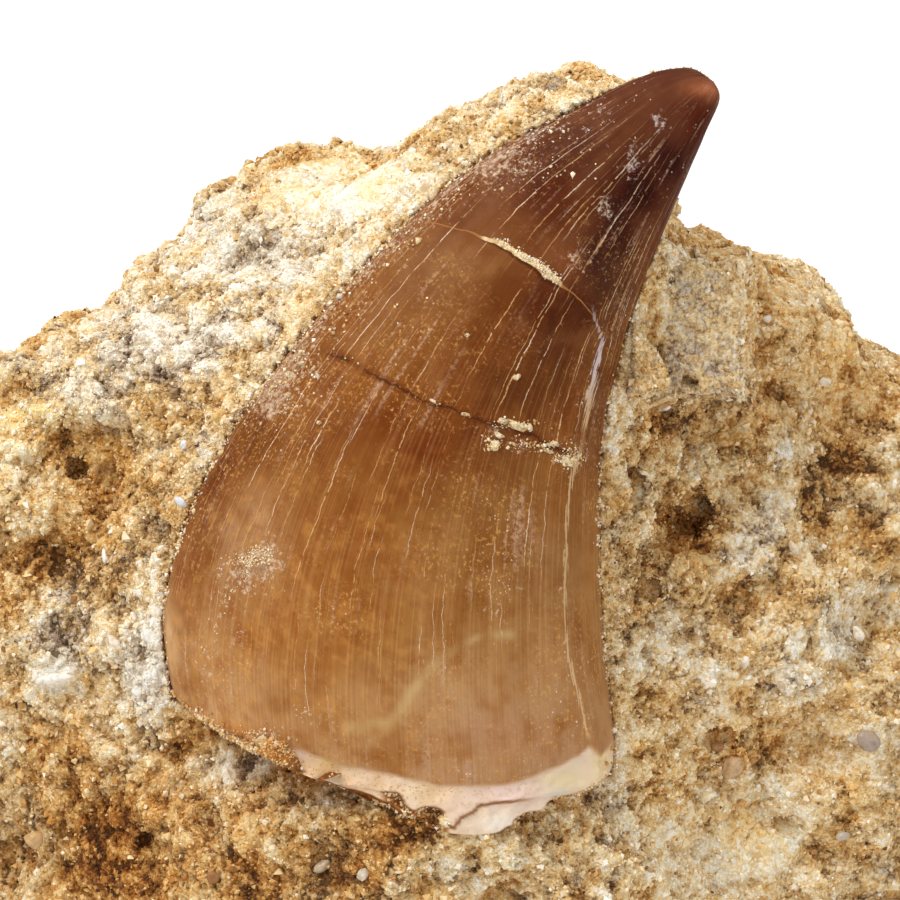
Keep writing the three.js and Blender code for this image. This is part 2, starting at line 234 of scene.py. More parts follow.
def rough_noise(points, size, seed, steps=3, fade=0.6):
    """Lattice noise of this size, with the same at half the size and times fade in height added
    to it, and so on for this many steps."""
    return sum(fade**k * lattice_noise(points, size / 2**k, seed + 7 * k) for k in range(steps))


def wrapped_mesh(name, first_pole, rings, last_pole):
    """Mesh of rings of points that closes round, and onto one point at each end. Its map has the
    way round across it and the way along up it."""
    rows, columns = rings.shape[:2]
    points = np.concatenate([[first_pole], rings.reshape(-1, 3), [last_pole]])
    i, j = np.meshgrid(np.arange(rows - 1), np.arange(columns), indexing="ij")
    k = (j + 1) % columns
    near, far = 1 + i * columns, 1 + (i + 1) * columns
    quads = np.stack([near + j, far + j, far + k, near + k], -1).reshape(-1, 4)
    low, high = (i + 1) / (rows + 1), (i + 2) / (rows + 1)
    start, end = j / columns, (j + 1) / columns
    quad_map = np.stack([start, low, start, high, end, high, end, low], -1).reshape(-1, 2)
    j = np.arange(columns)
    k = (j + 1) % columns
    last_row = 1 + (rows - 1) * columns
    top = np.full(columns, len(points) - 1)
    fans = [np.stack([0 * j, 1 + j, 1 + k], -1), np.stack([top, last_row + k, last_row + j], -1)]
    fans = np.concatenate(fans)
    edge = 1 / (rows + 1)
    one = np.ones(columns)
    middle, start, end = (j + 0.5) / columns, j / columns, (j + 1) / columns
    low_map = np.stack([middle, 0 * one, start, edge * one, end, edge * one], -1)
    high_map = np.stack([middle, one, end, (1 - edge) * one, start, (1 - edge) * one], -1)
    fan_map = np.concatenate([low_map, high_map]).reshape(-1, 2)
    mesh = bpy.data.meshes.new(name)
    mesh.vertices.add(len(points))
    mesh.vertices.foreach_set("co", (points / MM_IN_A_METRE).astype(np.float32).ravel())
    mesh.loops.add(quads.size + fans.size)
    corners = np.concatenate([quads.ravel(), fans.ravel()])
    mesh.loops.foreach_set("vertex_index", corners.astype(np.int32))
    mesh.polygons.add(len(quads) + len(fans))
    starts = np.concatenate([np.arange(len(quads)) * 4, quads.size + np.arange(len(fans)) * 3])
    mesh.polygons.foreach_set("loop_start", starts.astype(np.int32))
    layer = mesh.uv_layers.new(name="OFBake")
    mesh.update(calc_edges=True)
    whole_map = np.concatenate([quad_map, fan_map])
    layer.uv.foreach_set("vector", whole_map.astype(np.float32).ravel())
    mesh.shade_smooth()
    mesh.validate()
    return placed(name, mesh)


def note(thing, name, values):
    """Stores one number for each point of a mesh, for its material to read."""
    held = thing.data.attributes.new(name, "FLOAT", "POINT")
    held.data.foreach_set("value", np.asarray(values, np.float32).ravel())


def note_grid(thing, name, grid):
    """Stores a grid of numbers on a wrapped mesh, with the mean of each end row at its pole."""
    note(thing, name, np.concatenate([[grid[0].mean()], grid.ravel(), [grid[-1].mean()]]))


OBJECT_PLACE, FACTOR = 3, 2  # sockets: Texture Coordinate's Object, and Attribute's Factor


class Shade:
    """A socket of a material's nodes. Arithmetic with it adds Math nodes."""

    def __init__(self, tree, socket=None):
        self.tree = tree
        self.socket = socket

    def node(self, kind, settings={}, inputs={}, output=0):
        """Adds a node of this kind, with its settings made first and then its sockets."""
        made = self.tree.nodes.new("ShaderNode" + kind)
        for name, value in settings.items():
            if name == "stops":
                stops = made.color_ramp.elements
                while len(stops) < len(value):
                    stops.new(1)
                for stop, (place, colour) in zip(stops, value):
                    stop.position = place
                    stop.color = (*colour, 1)
            else:
                setattr(made, name, value)
        for name, value in inputs.items():
            if isinstance(value, Shade):
                self.tree.links.new(value.socket, made.inputs[name])
            else:
                made.inputs[name].default_value = value
        return Shade(self.tree, made.outputs[output] if made.outputs else None)

    def maths(self, operation, *values):
        return self.node("Math", {"operation": operation}, dict(enumerate(values)))

    def __abs__(self):
        return self.maths("ABSOLUTE", self)

    def __add__(self, other):
        return self.maths("ADD", self, other)

    __radd__ = __add__

    def __sub__(self, other):
        return self.maths("SUBTRACT", self, other)

    def __rsub__(self, other):
        return self.maths("SUBTRACT", other, self)

    def __mul__(self, other):
        return self.maths("MULTIPLY", self, other)

    __rmul__ = __mul__

    def __truediv__(self, other):
        return self.maths("DIVIDE", self, other)

    def between(self, low, high):
        """Eased from 0 where this is low to 1 where it is high."""
        settings = {"interpolation_type": "SMOOTHSTEP"}
        return self.node("MapRange", settings, {"Value": self, "From Min": low, "From Max": high})


def paint(red, green, blue):
    """A colour from 0 to 255 as the linear values that a shader takes."""
    shares = np.array([red, green, blue]) / 255
    linear = np.where(shares < 0.04045, shares / 12.92, ((shares + 0.055) / 1.055) ** 2.4)
    return tuple(linear.tolist())


def laid_over(below, above, share, blend="MIX"):
    """One colour over another by a share from 0 to 1. The Mix node takes the share at its socket
    0 and the colours at 6 and 7, and gives the colour at 2."""
    colours = {6: below, 7: above, 0: share}
    for key in (6, 7):
        if isinstance(colours[key], tuple):
            colours[key] = (*colours[key], 1)
    host = next(value for value in colours.values() if isinstance(value, Shade))
    settings = {"data_type": "RGBA", "blend_type": blend, "clamp_factor": True}
    return host.node("Mix", settings, colours, 2)


def new_material(name):
    """An empty material, and a Shade to add its nodes with."""
    material = bpy.data.materials.new(name)
    material.use_nodes = True
    tree = material.node_tree
    tree.nodes.clear()
    return material, Shade(tree)


def surface(shade, inputs, bump=None, bump_strength=1.0, bump_depth=0.0001):
    """A Principled surface with these sockets, its normal bent by a height in metres."""
    if bump is not None:
        heights = {"Height": bump, "Strength": bump_strength, "Distance": bump_depth}
        inputs = {**inputs, "Normal": shade.node("Bump", {}, heights)}
    finish = shade.node("BsdfPrincipled", {}, inputs)
    shade.node("OutputMaterial", {}, {"Surface": finish})


ROOT_ROWS, CROWN_ROWS, CLOSER_AT_THE_ROOT = 38, 290, 1.15
FRONT_COLUMNS, BACK_COLUMNS = 222, 80
# Lines seen on the tooth from the front, across and up the face.
HIGH_CRACK = [
    (-1.0, 10.2), (0.9, 9.65), (2.2, 9.2), (4.0, 8.1), (5.55, 6.9), (6.2, 6.2), (6.7, 5.5),
]
# Half widths by place across, and widths and strengths of the keel's line by place up.
HIGH_CRACK_WIDTHS = [
    (-2.0, 0.02), (0.6, 0.024), (1.3, 0.045), (1.9, 0.09), (3.0, 0.13), (4.2, 0.19), (4.7, 0.15),
    (5.0, 0.06), (5.4, 0.026), (8.0, 0.024),
]
LOW_CRACK = [
    (-5.9, 4.45), (-4.7, 4.1), (-3.55, 3.45), (-2.2, 2.75), (-0.9, 2.1), (0.45, 1.7), (1.8, 1.1),
    (3.55, 0.65), (4.9, 0.0), (5.8, -0.55),
]
KEEL_LINE = [
    (10.9, 14.1), (9.8, 13.1), (8.9, 11.9), (8.0, 10.7), (7.6, 10.1), (6.9, 9.0), (6.2, 7.2), (6.4, 6.0),
    (6.8, 4.8), (6.4, 3.4), (6.2, 2.4), (5.9, 0.4), (5.6, -0.7), (5.3, -1.8), (5.2, -3.6), (5.1, -5.8),
    (5.1, -7.6), (5.3, -9.3), (5.8, -11.1), (6.2, -13.1),
]
KEEL_LINE_WIDTHS = [
    (-14, 0.085), (-7, 0.08), (-3, 0.085), (-1.5, 0.09), (0, 0.09), (0.7, 0.08), (1.2, 0.11), (2.4, 0.14),
    (3.6, 0.14), (4.6, 0.10), (5.2, 0.07), (6.2, 0.07), (7, 0.05), (15, 0.04),
]
KEEL_LINE_STRENGTHS = [
    (-13, 0.0), (-12.4, 0.9), (-8, 0.9), (-7, 0.7), (-3, 0.8), (-2, 0.9), (-0.4, 0.9), (0.2, 0.2),
    (0.8, 0.25), (1.2, 0.9), (4.4, 0.9), (5, 0.55), (5.9, 0.45), (6.5, 0.0), (13.4, 0.0),
]
ENAMEL_EDGE = [
    (-12.7, -10.7), (-11.8, -11.3), (-10.7, -12.1), (-9.3, -12.8), (-8.4, -13.2), (-7.6, -13.2),
    (-6.7, -13.3), (-5.6, -13.7), (-4.4, -14.1), (-3.3, -14.3), (-2.2, -14.5), (-1.3, -14.7), (-0.4, -14.9),
    (1.3, -14.9), (2.4, -14.9), (3.1, -14.7), (3.8, -14.5), (4.4, -14.2), (5.1, -13.9), (5.8, -13.6),
    (6.2, -13.2), (6.8, -13.6), (7.2, -13.1), (7.6, -12.5),
]
PLATE_EDGE = [
    (-2.9, -15.2), (-2.3, -15.3), (-2.0, -15.8), (-1.6, -16.1), (-1.1, -15.9), (-0.7, -15.9), (-0.3, -16.1),
    (-0.1, -16.7), (0.2, -16.8), (0.5, -16.4), (1.1, -16.1), (1.4, -15.8), (2.2, -15.7), (2.9, -15.6),
    (3.6, -15.6), (4.9, -15.3),
]
ROOT_FOOT = [
    (-12.4, -11.2), (-10.4, -12.4), (-9.3, -13.2), (-8.4, -13.4), (-7.8, -13.6), (-7.1, -14.1),
    (-6.4, -14.6), (-5.6, -14.8), (-4.4, -15.1), (-3.6, -15.4), (-2.9, -15.7), (-2.2, -16.2), (-1.3, -16.4),
    (-0.8, -16.9), (-0.2, -17.2), (1.3, -17.25), (2.2, -17.1), (2.9, -16.8), (3.1, -16.4), (3.6, -16.2),
    (4.3, -16.1), (4.7, -15.6), (5.4, -15.4), (6.2, -15.1), (6.9, -14.8), (7.5, -13.8),
]
# The arc of a pale band painted across the lower crown: a painted highlight.
PAINTED_HIGHLIGHT_SWEEP = [
    (-4.4, -12.3), (-2.7, -12.1), (-2.1, -11.5), (-1.7, -10.7), (-0.5, -9.4), (0.5, -8.7), (1.5, -8.2),
    (2.7, -8.2),
]
# Colours of the enamel by the share of the way up the crown.
ENAMEL_ALONG = [
    (0.00, (175, 129, 88)), (0.10, (168, 120, 74)), (0.20, (152, 101, 50)), (0.30, (133, 79, 31)),
    (0.40, (123, 67, 25)), (0.50, (126, 76, 39)), (0.58, (114, 64, 33)), (0.62, (97, 51, 25)),
    (0.75, (92, 47, 26)), (0.90, (84, 42, 26)), (1.00, (104, 54, 34)),
]
# Clouds in the enamel, two of them painted highlights: middle, half sizes, strength and colour.
# They are laid over in turn.
ENAMEL_CLOUDS_AND_HIGHLIGHTS = [
    # The first cloud, pale orange-brown at the tip, is a painted highlight.
    (11.4, 16.0, 1.0, 0.5, 0.95, (180, 112, 76)), (11.0, 14.7, 0.7, 1.1, 0.75, (76, 24, 5)),
    (9.8, 13.0, 0.9, 1.2, 0.95, (46, 9, 2)), (8.4, 11.6, 0.9, 1.3, 1.0, (48, 8, 2)),
    (7.5, 10.0, 0.9, 1.4, 1.0, (38, 4, 0)), (6.6, 8.4, 0.9, 1.5, 1.0, (36, 4, 0)),
    (5.6, 6.2, 1.0, 1.4, 0.85, (64, 22, 3)), (6.0, 13.0, 2.0, 1.3, 0.8, (78, 37, 22)),
    (3.0, 11.6, 1.6, 0.9, 0.5, (92, 46, 26)), (5.3, 8.3, 0.6, 0.6, 0.7, (126, 62, 32)),
    (-0.9, 8.0, 2.2, 1.4, 0.6, (135, 90, 48)), (-2.7, 5.3, 2.0, 1.6, 0.6, (146, 98, 46)),
    (4.0, 6.3, 1.3, 1.6, 0.75, (80, 29, 3)), (2.2, 6.8, 1.0, 1.2, 0.6, (92, 42, 7)),
    (4.9, 4.4, 1.5, 2.0, 0.65, (76, 34, 7)), (3.0, 2.6, 1.7, 1.4, 0.7, (84, 40, 6)),
    (7.2, 7.4, 0.9, 2.4, 0.75, (82, 46, 26)), (6.5, 2.7, 0.5, 2.2, 0.6, (100, 64, 38)),
    (-4.4, 3.2, 2.2, 1.4, 0.65, (132, 74, 22)), (-0.9, 0.1, 2.4, 1.3, 0.9, (99, 38, 3)),
    (-2.4, 1.4, 2.0, 0.9, 0.7, (104, 46, 8)), (1.3, 0.0, 1.3, 1.1, 0.7, (96, 42, 5)),
    (-10.7, -1.3, 1.5, 3.2, 0.9, (88, 35, 5)), (-8.9, 1.5, 1.5, 2.2, 0.7, (102, 52, 14)),
    (-6.2, 4.6, 1.2, 1.6, 0.6, (126, 76, 30)), (-12.0, -4.9, 0.8, 3.4, 0.7, (119, 60, 19)),
    (-8.6, -4.6, 2.2, 2.4, 0.65, (172, 130, 94)), (-0.9, -6.0, 2.2, 2.0, 0.55, (172, 126, 80)),
    (-9.1, -3.1, 1.6, 1.4, 0.4, (180, 138, 98)), (4.6, 11.0, 1.2, 1.4, 0.6, (72, 24, 8)),
    (-9.8, -11.6, 1.4, 0.8, 0.5, (198, 154, 108)), (-4.9, -5.2, 3.0, 2.8, 0.7, (137, 76, 26)),
    (-5.8, -8.4, 2.4, 2.4, 0.6, (154, 94, 37)), (-8.0, -7.6, 2.0, 2.0, 0.5, (158, 98, 42)),
    (0.8, -3.1, 2.6, 2.8, 0.65, (142, 96, 46)), (3.1, -1.6, 1.6, 1.4, 0.5, (114, 70, 30)),
    (4.0, -5.0, 1.5, 2.8, 0.6, (144, 100, 60)), (-2.2, -7.4, 2.0, 2.0, 0.5, (152, 97, 42)),
    # (-12.5, -8.9), the pale strip down the left edge, is a painted highlight.
    (-10.2, -10.2, 1.8, 1.6, 0.6, (182, 130, 78)), (-12.5, -8.9, 0.45, 2.2, 0.9, (206, 166, 119)),
    (0.0, -11.2, 3.4, 1.5, 0.6, (182, 140, 96)), (2.4, -12.6, 2.4, 1.2, 0.5, (172, 122, 88)),
    (-4.4, -12.0, 2.4, 1.2, 0.5, (168, 115, 58)), (6.2, -7.6, 0.6, 4.5, 0.75, (162, 110, 56)),
    (-9.4, -12.7, 2.2, 0.6, 0.6, (190, 118, 48)),
]
# The same in the pale dentine of the root.
DENTINE_CLOUDS = [
    (-7.0, -13.7, 0.7, 0.35, 0.9, (228, 196, 182)), (-5.6, -14.1, 1.2, 0.5, 0.9, (214, 174, 116)),
    (-3.4, -14.7, 1.4, 0.5, 0.8, (230, 198, 166)), (-1.2, -15.3, 1.6, 0.45, 0.8, (236, 210, 172)),
    (2.6, -15.3, 1.6, 0.5, 0.9, (238, 208, 196)), (0.2, -16.2, 0.8, 0.7, 0.9, (238, 214, 200)),
    (2.0, -16.6, 1.5, 0.5, 0.9, (242, 228, 210)), (5.4, -14.7, 1.1, 0.6, 0.9, (228, 206, 162)),
    (6.9, -13.9, 0.5, 0.8, 0.9, (230, 204, 154)), (5.0, -15.4, 0.7, 0.3, 0.8, (212, 200, 182)),
    (-10.2, -12.0, 1.8, 0.6, 0.9, (190, 130, 66)), (-8.1, -12.9, 0.5, 0.3, 0.9, (232, 208, 170)),
]
# Where limy crust is left on the enamel: middle, half sizes and strength.
CRUST_SPOTS = [
    (-8.4, -4.7, 1.0, 0.9, 1.0), (-8.9, -5.6, 1.8, 0.9, 0.65), (-7.3, 3.2, 1.5, 1.6, 0.6),
    (-8.2, 1.8, 1.0, 1.4, 0.5), (2.2, 1.0, 0.9, 0.28, 1.0), (3.0, 0.2, 0.7, 0.5, 0.9),
    (5.2, -0.3, 0.9, 0.7, 0.9), (6.8, 10.9, 0.45, 0.7, 0.9), (9.3, 14.5, 0.4, 0.6, 0.9),
    (8.1, 12.8, 0.35, 1.0, 0.9), (-10.9, -9.0, 0.7, 1.9, 0.6), (-8.2, -12.6, 0.9, 0.3, 0.9),
    (5.5, 8.4, 0.8, 0.7, 0.8), (6.2, 1.6, 0.5, 2.2, 0.5), (-9.8, -7.2, 1.0, 1.6, 0.45),
    (2.6, -6.2, 1.6, 1.2, 0.42), (-6.2, -11.6, 0.9, 0.8, 0.4), (2.4, 12.4, 1.5, 0.8, 0.5),
]

station = np.concatenate([
    np.arange(ROOT_ROWS) / ROOT_ROWS,
    TIP_STATION - (TIP_STATION - 1) * (1 - np.arange(CROWN_ROWS) / CROWN_ROWS) ** CLOSER_AT_THE_ROOT,
])[:, None]
turn = np.concatenate([
    np.pi * np.arange(FRONT_COLUMNS) / FRONT_COLUMNS,
    np.pi * (1 + np.arange(BACK_COLUMNS) / BACK_COLUMNS),
])[None, :]
station, turn = np.broadcast_arrays(station, turn)
skin = tooth_skin(station, turn)
outward = facing_of(skin)
shown = skin[..., :2] * (WORKING_DISTANCE / (WORKING_DISTANCE - skin[..., 2:]))
a, b = shown[..., 0], shown[..., 1]
high_crack = off_line(a, b, HIGH_CRACK) + 0.05 * lattice_noise(skin, 0.5, 3)
high_width = np.interp(a, *zip(*HIGH_CRACK_WIDTHS)) * (1 + 0.35 * lattice_noise(skin, 0.3, 12))
low_crack = off_line(a, b, LOW_CRACK) + 0.08 * lattice_noise(skin, 0.6, 4)
low_crack = low_crack + 0.04 * lattice_noise(skin, 0.2, 14)
keel_off = off_line(a, b, KEEL_LINE) + 0.03 * lattice_noise(skin, 0.4, 15)
keel_width = np.interp(b, *zip(*KEEL_LINE_WIDTHS)) * (1 + 0.5 * lattice_noise(skin, 0.5, 13))
plate = off_line(a, b, PLATE_EDGE) + 0.05 * lattice_noise(skin, 0.4, 5)
enamel_edge = off_line(a, b, ENAMEL_EDGE) + 0.05 * lattice_noise(skin, 0.5, 18)
root_foot = off_line(a, b, ROOT_FOOT) + 0.06 * rough_noise(skin, 0.5, 19, 2)
front_share = eased(np.sin(turn) / 0.2)
on_root = front_share * eased(0.4 - enamel_edge / 0.3)
on_root = on_root + (1 - front_share) * eased((1 - station) / 0.08)
cavity = front_share * eased(0.4 - plate / 0.1) * eased((0.1 - a) / 0.3) * eased((a + 3.2) / 0.5)

# How far the skin stands out, in mm: soft waves, flutes that fade up the crown, the filling of the
# high crack and the step below it, the groove and the ledge of the low crack, the rough root let in
# under the enamel, its plate and its hollow, and the stump sunk out of sight below its foot.
WAVES, RIPPLES, FLUTE_HEIGHT, FLUTES = 0.05, 0.012, 0.03, 26
FILLING_PROUD, STEP_DOWN, GROOVE, LEDGE = 0.08, 0.05, 0.03, 0.06
ROOT_LET_IN, PLATE_LET_IN, HOLLOW, STUMP_SUNK = 0.14, 0.14, 0.3, 1.0
lift = WAVES * lattice_noise(skin, 4.0, 6) + RIPPLES * lattice_noise(skin, 0.7, 7)
lift = lift + FLUTE_HEIGHT * np.cos(turn * FLUTES) * (1 - crown_share(station)) * front_share
filled = close_to(high_crack, high_width) * eased(high_width / 0.08 - 0.6)
step_down = STEP_DOWN * close_to(high_crack + high_width, 0.06)
lift = lift + (FILLING_PROUD * filled - step_down) * front_share
lift = lift - GROOVE * close_to(low_crack, 0.08) * front_share
ledge = eased(low_crack / 0.3 + 0.5) * eased((1.2 - np.abs(low_crack)) / 1.2)
lift = lift + LEDGE * ledge * front_share
rough = 0.10 * lattice_noise(skin, 0.55, 8) + 0.05 * lattice_noise(skin, 0.22, 9)
let_in = ROOT_LET_IN + PLATE_LET_IN * eased(0.5 - plate / 0.16) * front_share + HOLLOW * cavity
lift = lift + on_root * (rough * (1 + 1.2 * cavity) - let_in)
lift = lift - STUMP_SUNK * eased(0.1 - root_foot / 0.3) * eased((a + 9.2) / 1.2) * front_share
skin = skin + outward * lift[..., None]

root_end = skin[0].mean(0)
tip = np.array([*LEFT_EDGE[-1], TIP_RISE])
tooth = wrapped_mesh("tooth_enamel_and_root", in_the_part(root_end), in_the_part(skin), in_the_part(tip))


def on_tooth(name, grid):
    """Stores a grid of values on the tooth."""
    note_grid(tooth, name, grid)


def tinted(colours, tone, share):
    """Colours moved towards a tone by a share of the way at each place."""
    return colours + (np.asarray(tone) - colours) * np.asarray(share)[..., None]


def clouded(colours, clouds, ragged, shown):
    """Colours with soft clouds laid over them. The share of each is its strength times e to the
    power of less the squared distance from its middle, in its half sizes, made ragged by a noise."""
    for a0, b0, wide, high, strength, tone in clouds:
        off = ((a - a0) / wide) ** 2 + ((b - b0) / high) ** 2 + ragged
        colours = tinted(colours, tone, strength * np.exp(-np.maximum(off, 0)) * shown)
    return colours


up_share = (station - 1) / (TIP_STATION - 1)
stops, colours = zip(*ENAMEL_ALONG)
wavered = up_share + 0.03 * lattice_noise(skin, 3.0, 16)
enamel = np.stack([np.interp(wavered, stops, channel) for channel in zip(*colours)], -1)
enamel = clouded(enamel, ENAMEL_CLOUDS_AND_HIGHLIGHTS, 0.5 * lattice_noise(skin, 1.4, 17), front_share)
growth = np.stack([turn * 9, station * 1.6, 0 * turn], -1)
marble = 0.75 * rough_noise(skin, 2.2, 61, 4) + 0.5 * rough_noise(growth, 1.0, 62, 2)
enamel = enamel * (1 - np.array([0.10, 0.18, 0.34]) * eased(marble / 0.8)[..., None])
enamel = tinted(enamel, (210, 156, 92), eased((-marble - 0.1) / 1.2) * 0.10 * front_share)
mottled = rough_noise(skin, 0.7, 69, 3)
enamel = enamel * (1 - np.array([0.05, 0.10, 0.18]) * np.clip(mottled, -0.4, 1)[..., None])
filmy = 0.16 * eased(rough_noise(skin, 1.6, 70, 3) - 0.1) * eased(0.6 + mottled)
enamel = tinted(enamel, (206, 158, 118), filmy * front_share)
speckled = 1.7 * rough_noise(skin, 0.42, 77, 3) * (1 - 0.75 * eased((up_share - 0.4) / 0.25))
low_left = 0.25 + 0.75 * eased((1.5 - a) / 5) * eased((1 - b) / 4)
golden = 0.30 * low_left * eased(speckled - 0.45) * front_share
enamel = tinted(enamel, (216, 152, 78), golden)
reddish = 0.24 * low_left * eased(-speckled - 0.55) * front_share
enamel = tinted(enamel, (128, 52, 14), reddish)
dentine = np.array([232, 206, 180]) + 0 * enamel
dentine = clouded(dentine, DENTINE_CLOUDS, 0.5 * lattice_noise(skin, 0.6, 20), 1)
stained = 0.25 * eased(0.5 + 0.8 * rough_noise(skin, 0.9, 68, 3)) * eased((2.6 - a) / 3)
dentine = tinted(dentine, (206, 150, 84), stained)
# The dentine in the hollow below the plate is painted darker brown: painted shade of the hollow.
painted_hollow_shade = np.array([146, 82, 32]) * (1 + 0.45 * rough_noise(skin, 0.4, 78, 3))[..., None]
dentine = tinted(dentine, painted_hollow_shade, 0.9 * cavity)
enamel = tinted(enamel, dentine, on_root)
EDGE_LINE, EDGE_SOFT = 0.12, 0.08
foot_line = eased((EDGE_LINE - np.abs(root_foot + 0.03)) / EDGE_SOFT) * (0.35 + 0.65 * eased(3.4 - a))
plate_line = 0.75 * eased((EDGE_LINE - np.abs(plate)) / EDGE_SOFT) * on_root * eased((4.5 - a) / 2)
# The foot of the root, the plate's edge and the stump below the foot are painted orange on the left, a real
# stain, and dark brown further right. The dark brown is partly the tooth's own brown edge and partly painted
# shade of the gap under the rim.
outline = np.maximum(np.maximum(foot_line, plate_line), eased(0.1 - root_foot / 0.2)) * front_share
rust_and_painted_shade = tinted(np.array([182, 112, 44]) + 0 * enamel, (118, 66, 28), eased((a + 7.8) / 1.2))
enamel = tinted(enamel, rust_and_painted_shade, outline)
for channel, name in enumerate(("enamel_red", "enamel_green", "enamel_blue")):
    on_tooth(name, ((enamel[..., channel] / 255 + 0.055) / 1.055) ** 2.4)
girth = np.linalg.norm(np.roll(skin, -1, axis=1) - skin, axis=-1).sum(1, keepdims=True)
crusted = patches(a, b, CRUST_SPOTS) * front_share + 0.22 * rough_noise(skin, 1.0, 63, 3)
edge_dust = np.exp(-np.abs(turn - 2.75) / 0.3) * eased((up_share - 0.1) / 0.3) * front_share
# The painted highlight along that arc, ragged along the tooth's growth.
sweep_width = 0.30 + 0.05 * np.abs(a - 1.0)
sweep = eased((sweep_width - np.abs(off_line(a, b, PAINTED_HIGHLIGHT_SWEEP))) / sweep_width)
sweep = sweep * (0.6 + 0.4 * rough_noise(growth, 0.6, 64, 2))
on_tooth("up_the_crown", up_share)
on_tooth("girth", girth + 0 * turn)
on_tooth("keel_line", keel_off / keel_width)
on_tooth("keel_line_shown", np.interp(b, *zip(*KEEL_LINE_STRENGTHS)) * front_share)
on_tooth("high_crack", high_crack / high_width)
on_tooth("high_crack_shown", eased((a + 1.4) / 1.0) * eased((6.6 - a) / 0.5) * front_share)
on_tooth("crack_filling", high_width / 0.12)
on_tooth("low_crack", low_crack)
on_tooth("low_crack_shown", eased((a + 5.9) / 0.8) * eased((5.7 - a) / 0.6) * front_share)
on_tooth("root_share", on_root)
on_tooth("pale_sweep", sweep)
on_tooth("crust", crusted)
on_tooth("dust", 0.5 + 0.5 * rough_noise(skin, 2.4, 67, 3) + 0.5 * edge_dust)
on_tooth("leftward", -a)
edge_off = np.abs(off_line(a, b, LEFT_EDGE))
bedded_edge = np.exp(-edge_off / 0.8) * eased((b - 0.5) / 3) * eased((16.6 - b) / 3)
bedded_edge = bedded_edge * (turn > math.pi / 2) * front_share
on_tooth("bedded_edge", bedded_edge)

material, shade = new_material("fossil_enamel")
place = shade.node("TexCoord", output=OBJECT_PLACE)
way = shade.node("UVMap", {"uv_map": "OFBake"})
round_it = way.node("SeparateXYZ", {}, {0: way}, 0)


def noted(name):
    """A number stored on the mesh under this name."""
    return shade.node("Attribute", {"attribute_name": name}, {}, FACTOR)


def cloud(size, detail=0.0, roughness=0.6):
    """Noise whose features are about this many metres across, from 0 to 1."""
    inputs = {"Vector": place, "Scale": 1 / size, "Detail": detail, "Roughness": roughness}
    return shade.node("TexNoise", {}, inputs)


def stretched(round_scale, along_scale):
    """Noise drawn out along the tooth: fine round it and long from root to tip."""
    scaled = way.node("VectorMath", {"operation": "MULTIPLY"}, {0: way, 1: (round_scale, along_scale, 1)})
    return shade.node("TexNoise", {"noise_dimensions": "2D"}, {"Vector": scaled, "Scale": 1.0, "Detail": 1.0})


up_crown = noted("up_the_crown")
girth_there = noted("girth")
jags = stretched(20, 60) - 0.5
waver = jags * 0.006 + (stretched(9, 20) - 0.5) * 0.006 + (stretched(5, 9) - 0.5) * 0.012
waxing = stretched(50, 14)
gaps = stretched(90, 120).between(0.30, 0.42) * (waxing.between(0.28, 0.54) * 0.7 + 0.3)

grain = cloud(0.00024, 3.0, 0.75) - 0.5


def growth_lines(count, half_width, low, spread, least, most):
    """Fine pale lines from root to tip. There are count of them round the tooth, each wavering,
    this many mm half wide, and from a start of its own (low plus up to spread) for a length of
    its own. The distance to a line, in shares of the gap between lines, is times girth / count."""
    inputs = {"W": (round_it + waver + grain * 0.0036) * count + low * 37, "Scale": 1.0}
    off = shade.node("TexVoronoi", {"voronoi_dimensions": "1D"}, inputs)
    own = Shade(shade.tree, off.socket.node.outputs[1])
    starts = own.node("SeparateColor", {}, {0: own}, 0) * spread + low
    length = own.node("SeparateColor", {}, {0: own}, 1) * (most - least) + least
    along = (up_crown - starts) / length
    drawn = along.between(0.0, 0.12) * along.between(1.0, 0.7)
    return (off * girth_there * (1 / (count * half_width))).between(1.3, 0.5) * drawn


parts = {name: noted("enamel_" + name.lower()) for name in ("Red", "Green", "Blue")}
colour = shade.node("CombineColor", {}, parts)
fibres = stretched(360, 6)
root = noted("root_share")
enamelled = 1 - root
dark_fibres = fibres.between(0.5, 0.72) * enamelled * 0.38
colour = laid_over(colour, (0.80, 0.72, 0.62), dark_fibres, "MULTIPLY")
pale_fibres = fibres.between(0.46, 0.26) * up_crown.between(0.6, 0.2) * enamelled * 0.12
colour = laid_over(colour, paint(214, 172, 118), pale_fibres)
flecks = cloud(0.00018, 2.0, 0.75)
dust = noted("dust")
pale_flecks = flecks.between(0.54, 0.70) * dust.between(0.15, 0.9) * up_crown.between(0.75, 0.3)
colour = laid_over(colour, paint(216, 158, 84), pale_flecks * 0.65)
dark_flecks = flecks.between(0.44, 0.32) * enamelled * up_crown.between(-0.02, 0.25)
colour = laid_over(colour, paint(104, 50, 16), dark_flecks * 0.24)
# The painted highlight along the arc on the lower crown.
colour = laid_over(colour, paint(206, 176, 120), noted("pale_sweep") * enamelled * 0.5)
smudges = stretched(75, 11).between(0.62, 0.76) * flecks.between(0.36, 0.56) * dust.between(0.25, 0.9)
colour = laid_over(colour, paint(196, 158, 128), smudges * enamelled * 0.5)

long_lines = growth_lines(30, 0.030, 0.16, 0.40, 0.12, 0.36)
more_lines = growth_lines(46, 0.024, 0.08, 0.58, 0.08, 0.26)
base_lines = growth_lines(90, 0.020, 0.0, 0.42, 0.04, 0.16)
hair = long_lines.maths("MAXIMUM", long_lines, more_lines * 0.75)
hair = hair.maths("MAXIMUM", hair, base_lines * 0.6) * gaps * enamelled
hair = hair * (up_crown.between(0.8, 0.54) * 0.9 + 0.1) * (flecks.between(0.38, 0.56) * 0.5 + 0.5)
hair_tone = laid_over(paint(212, 164, 108), paint(238, 220, 194), waxing.between(0.50, 0.66) * 0.8)
colour = laid_over(colour, hair_tone, hair)


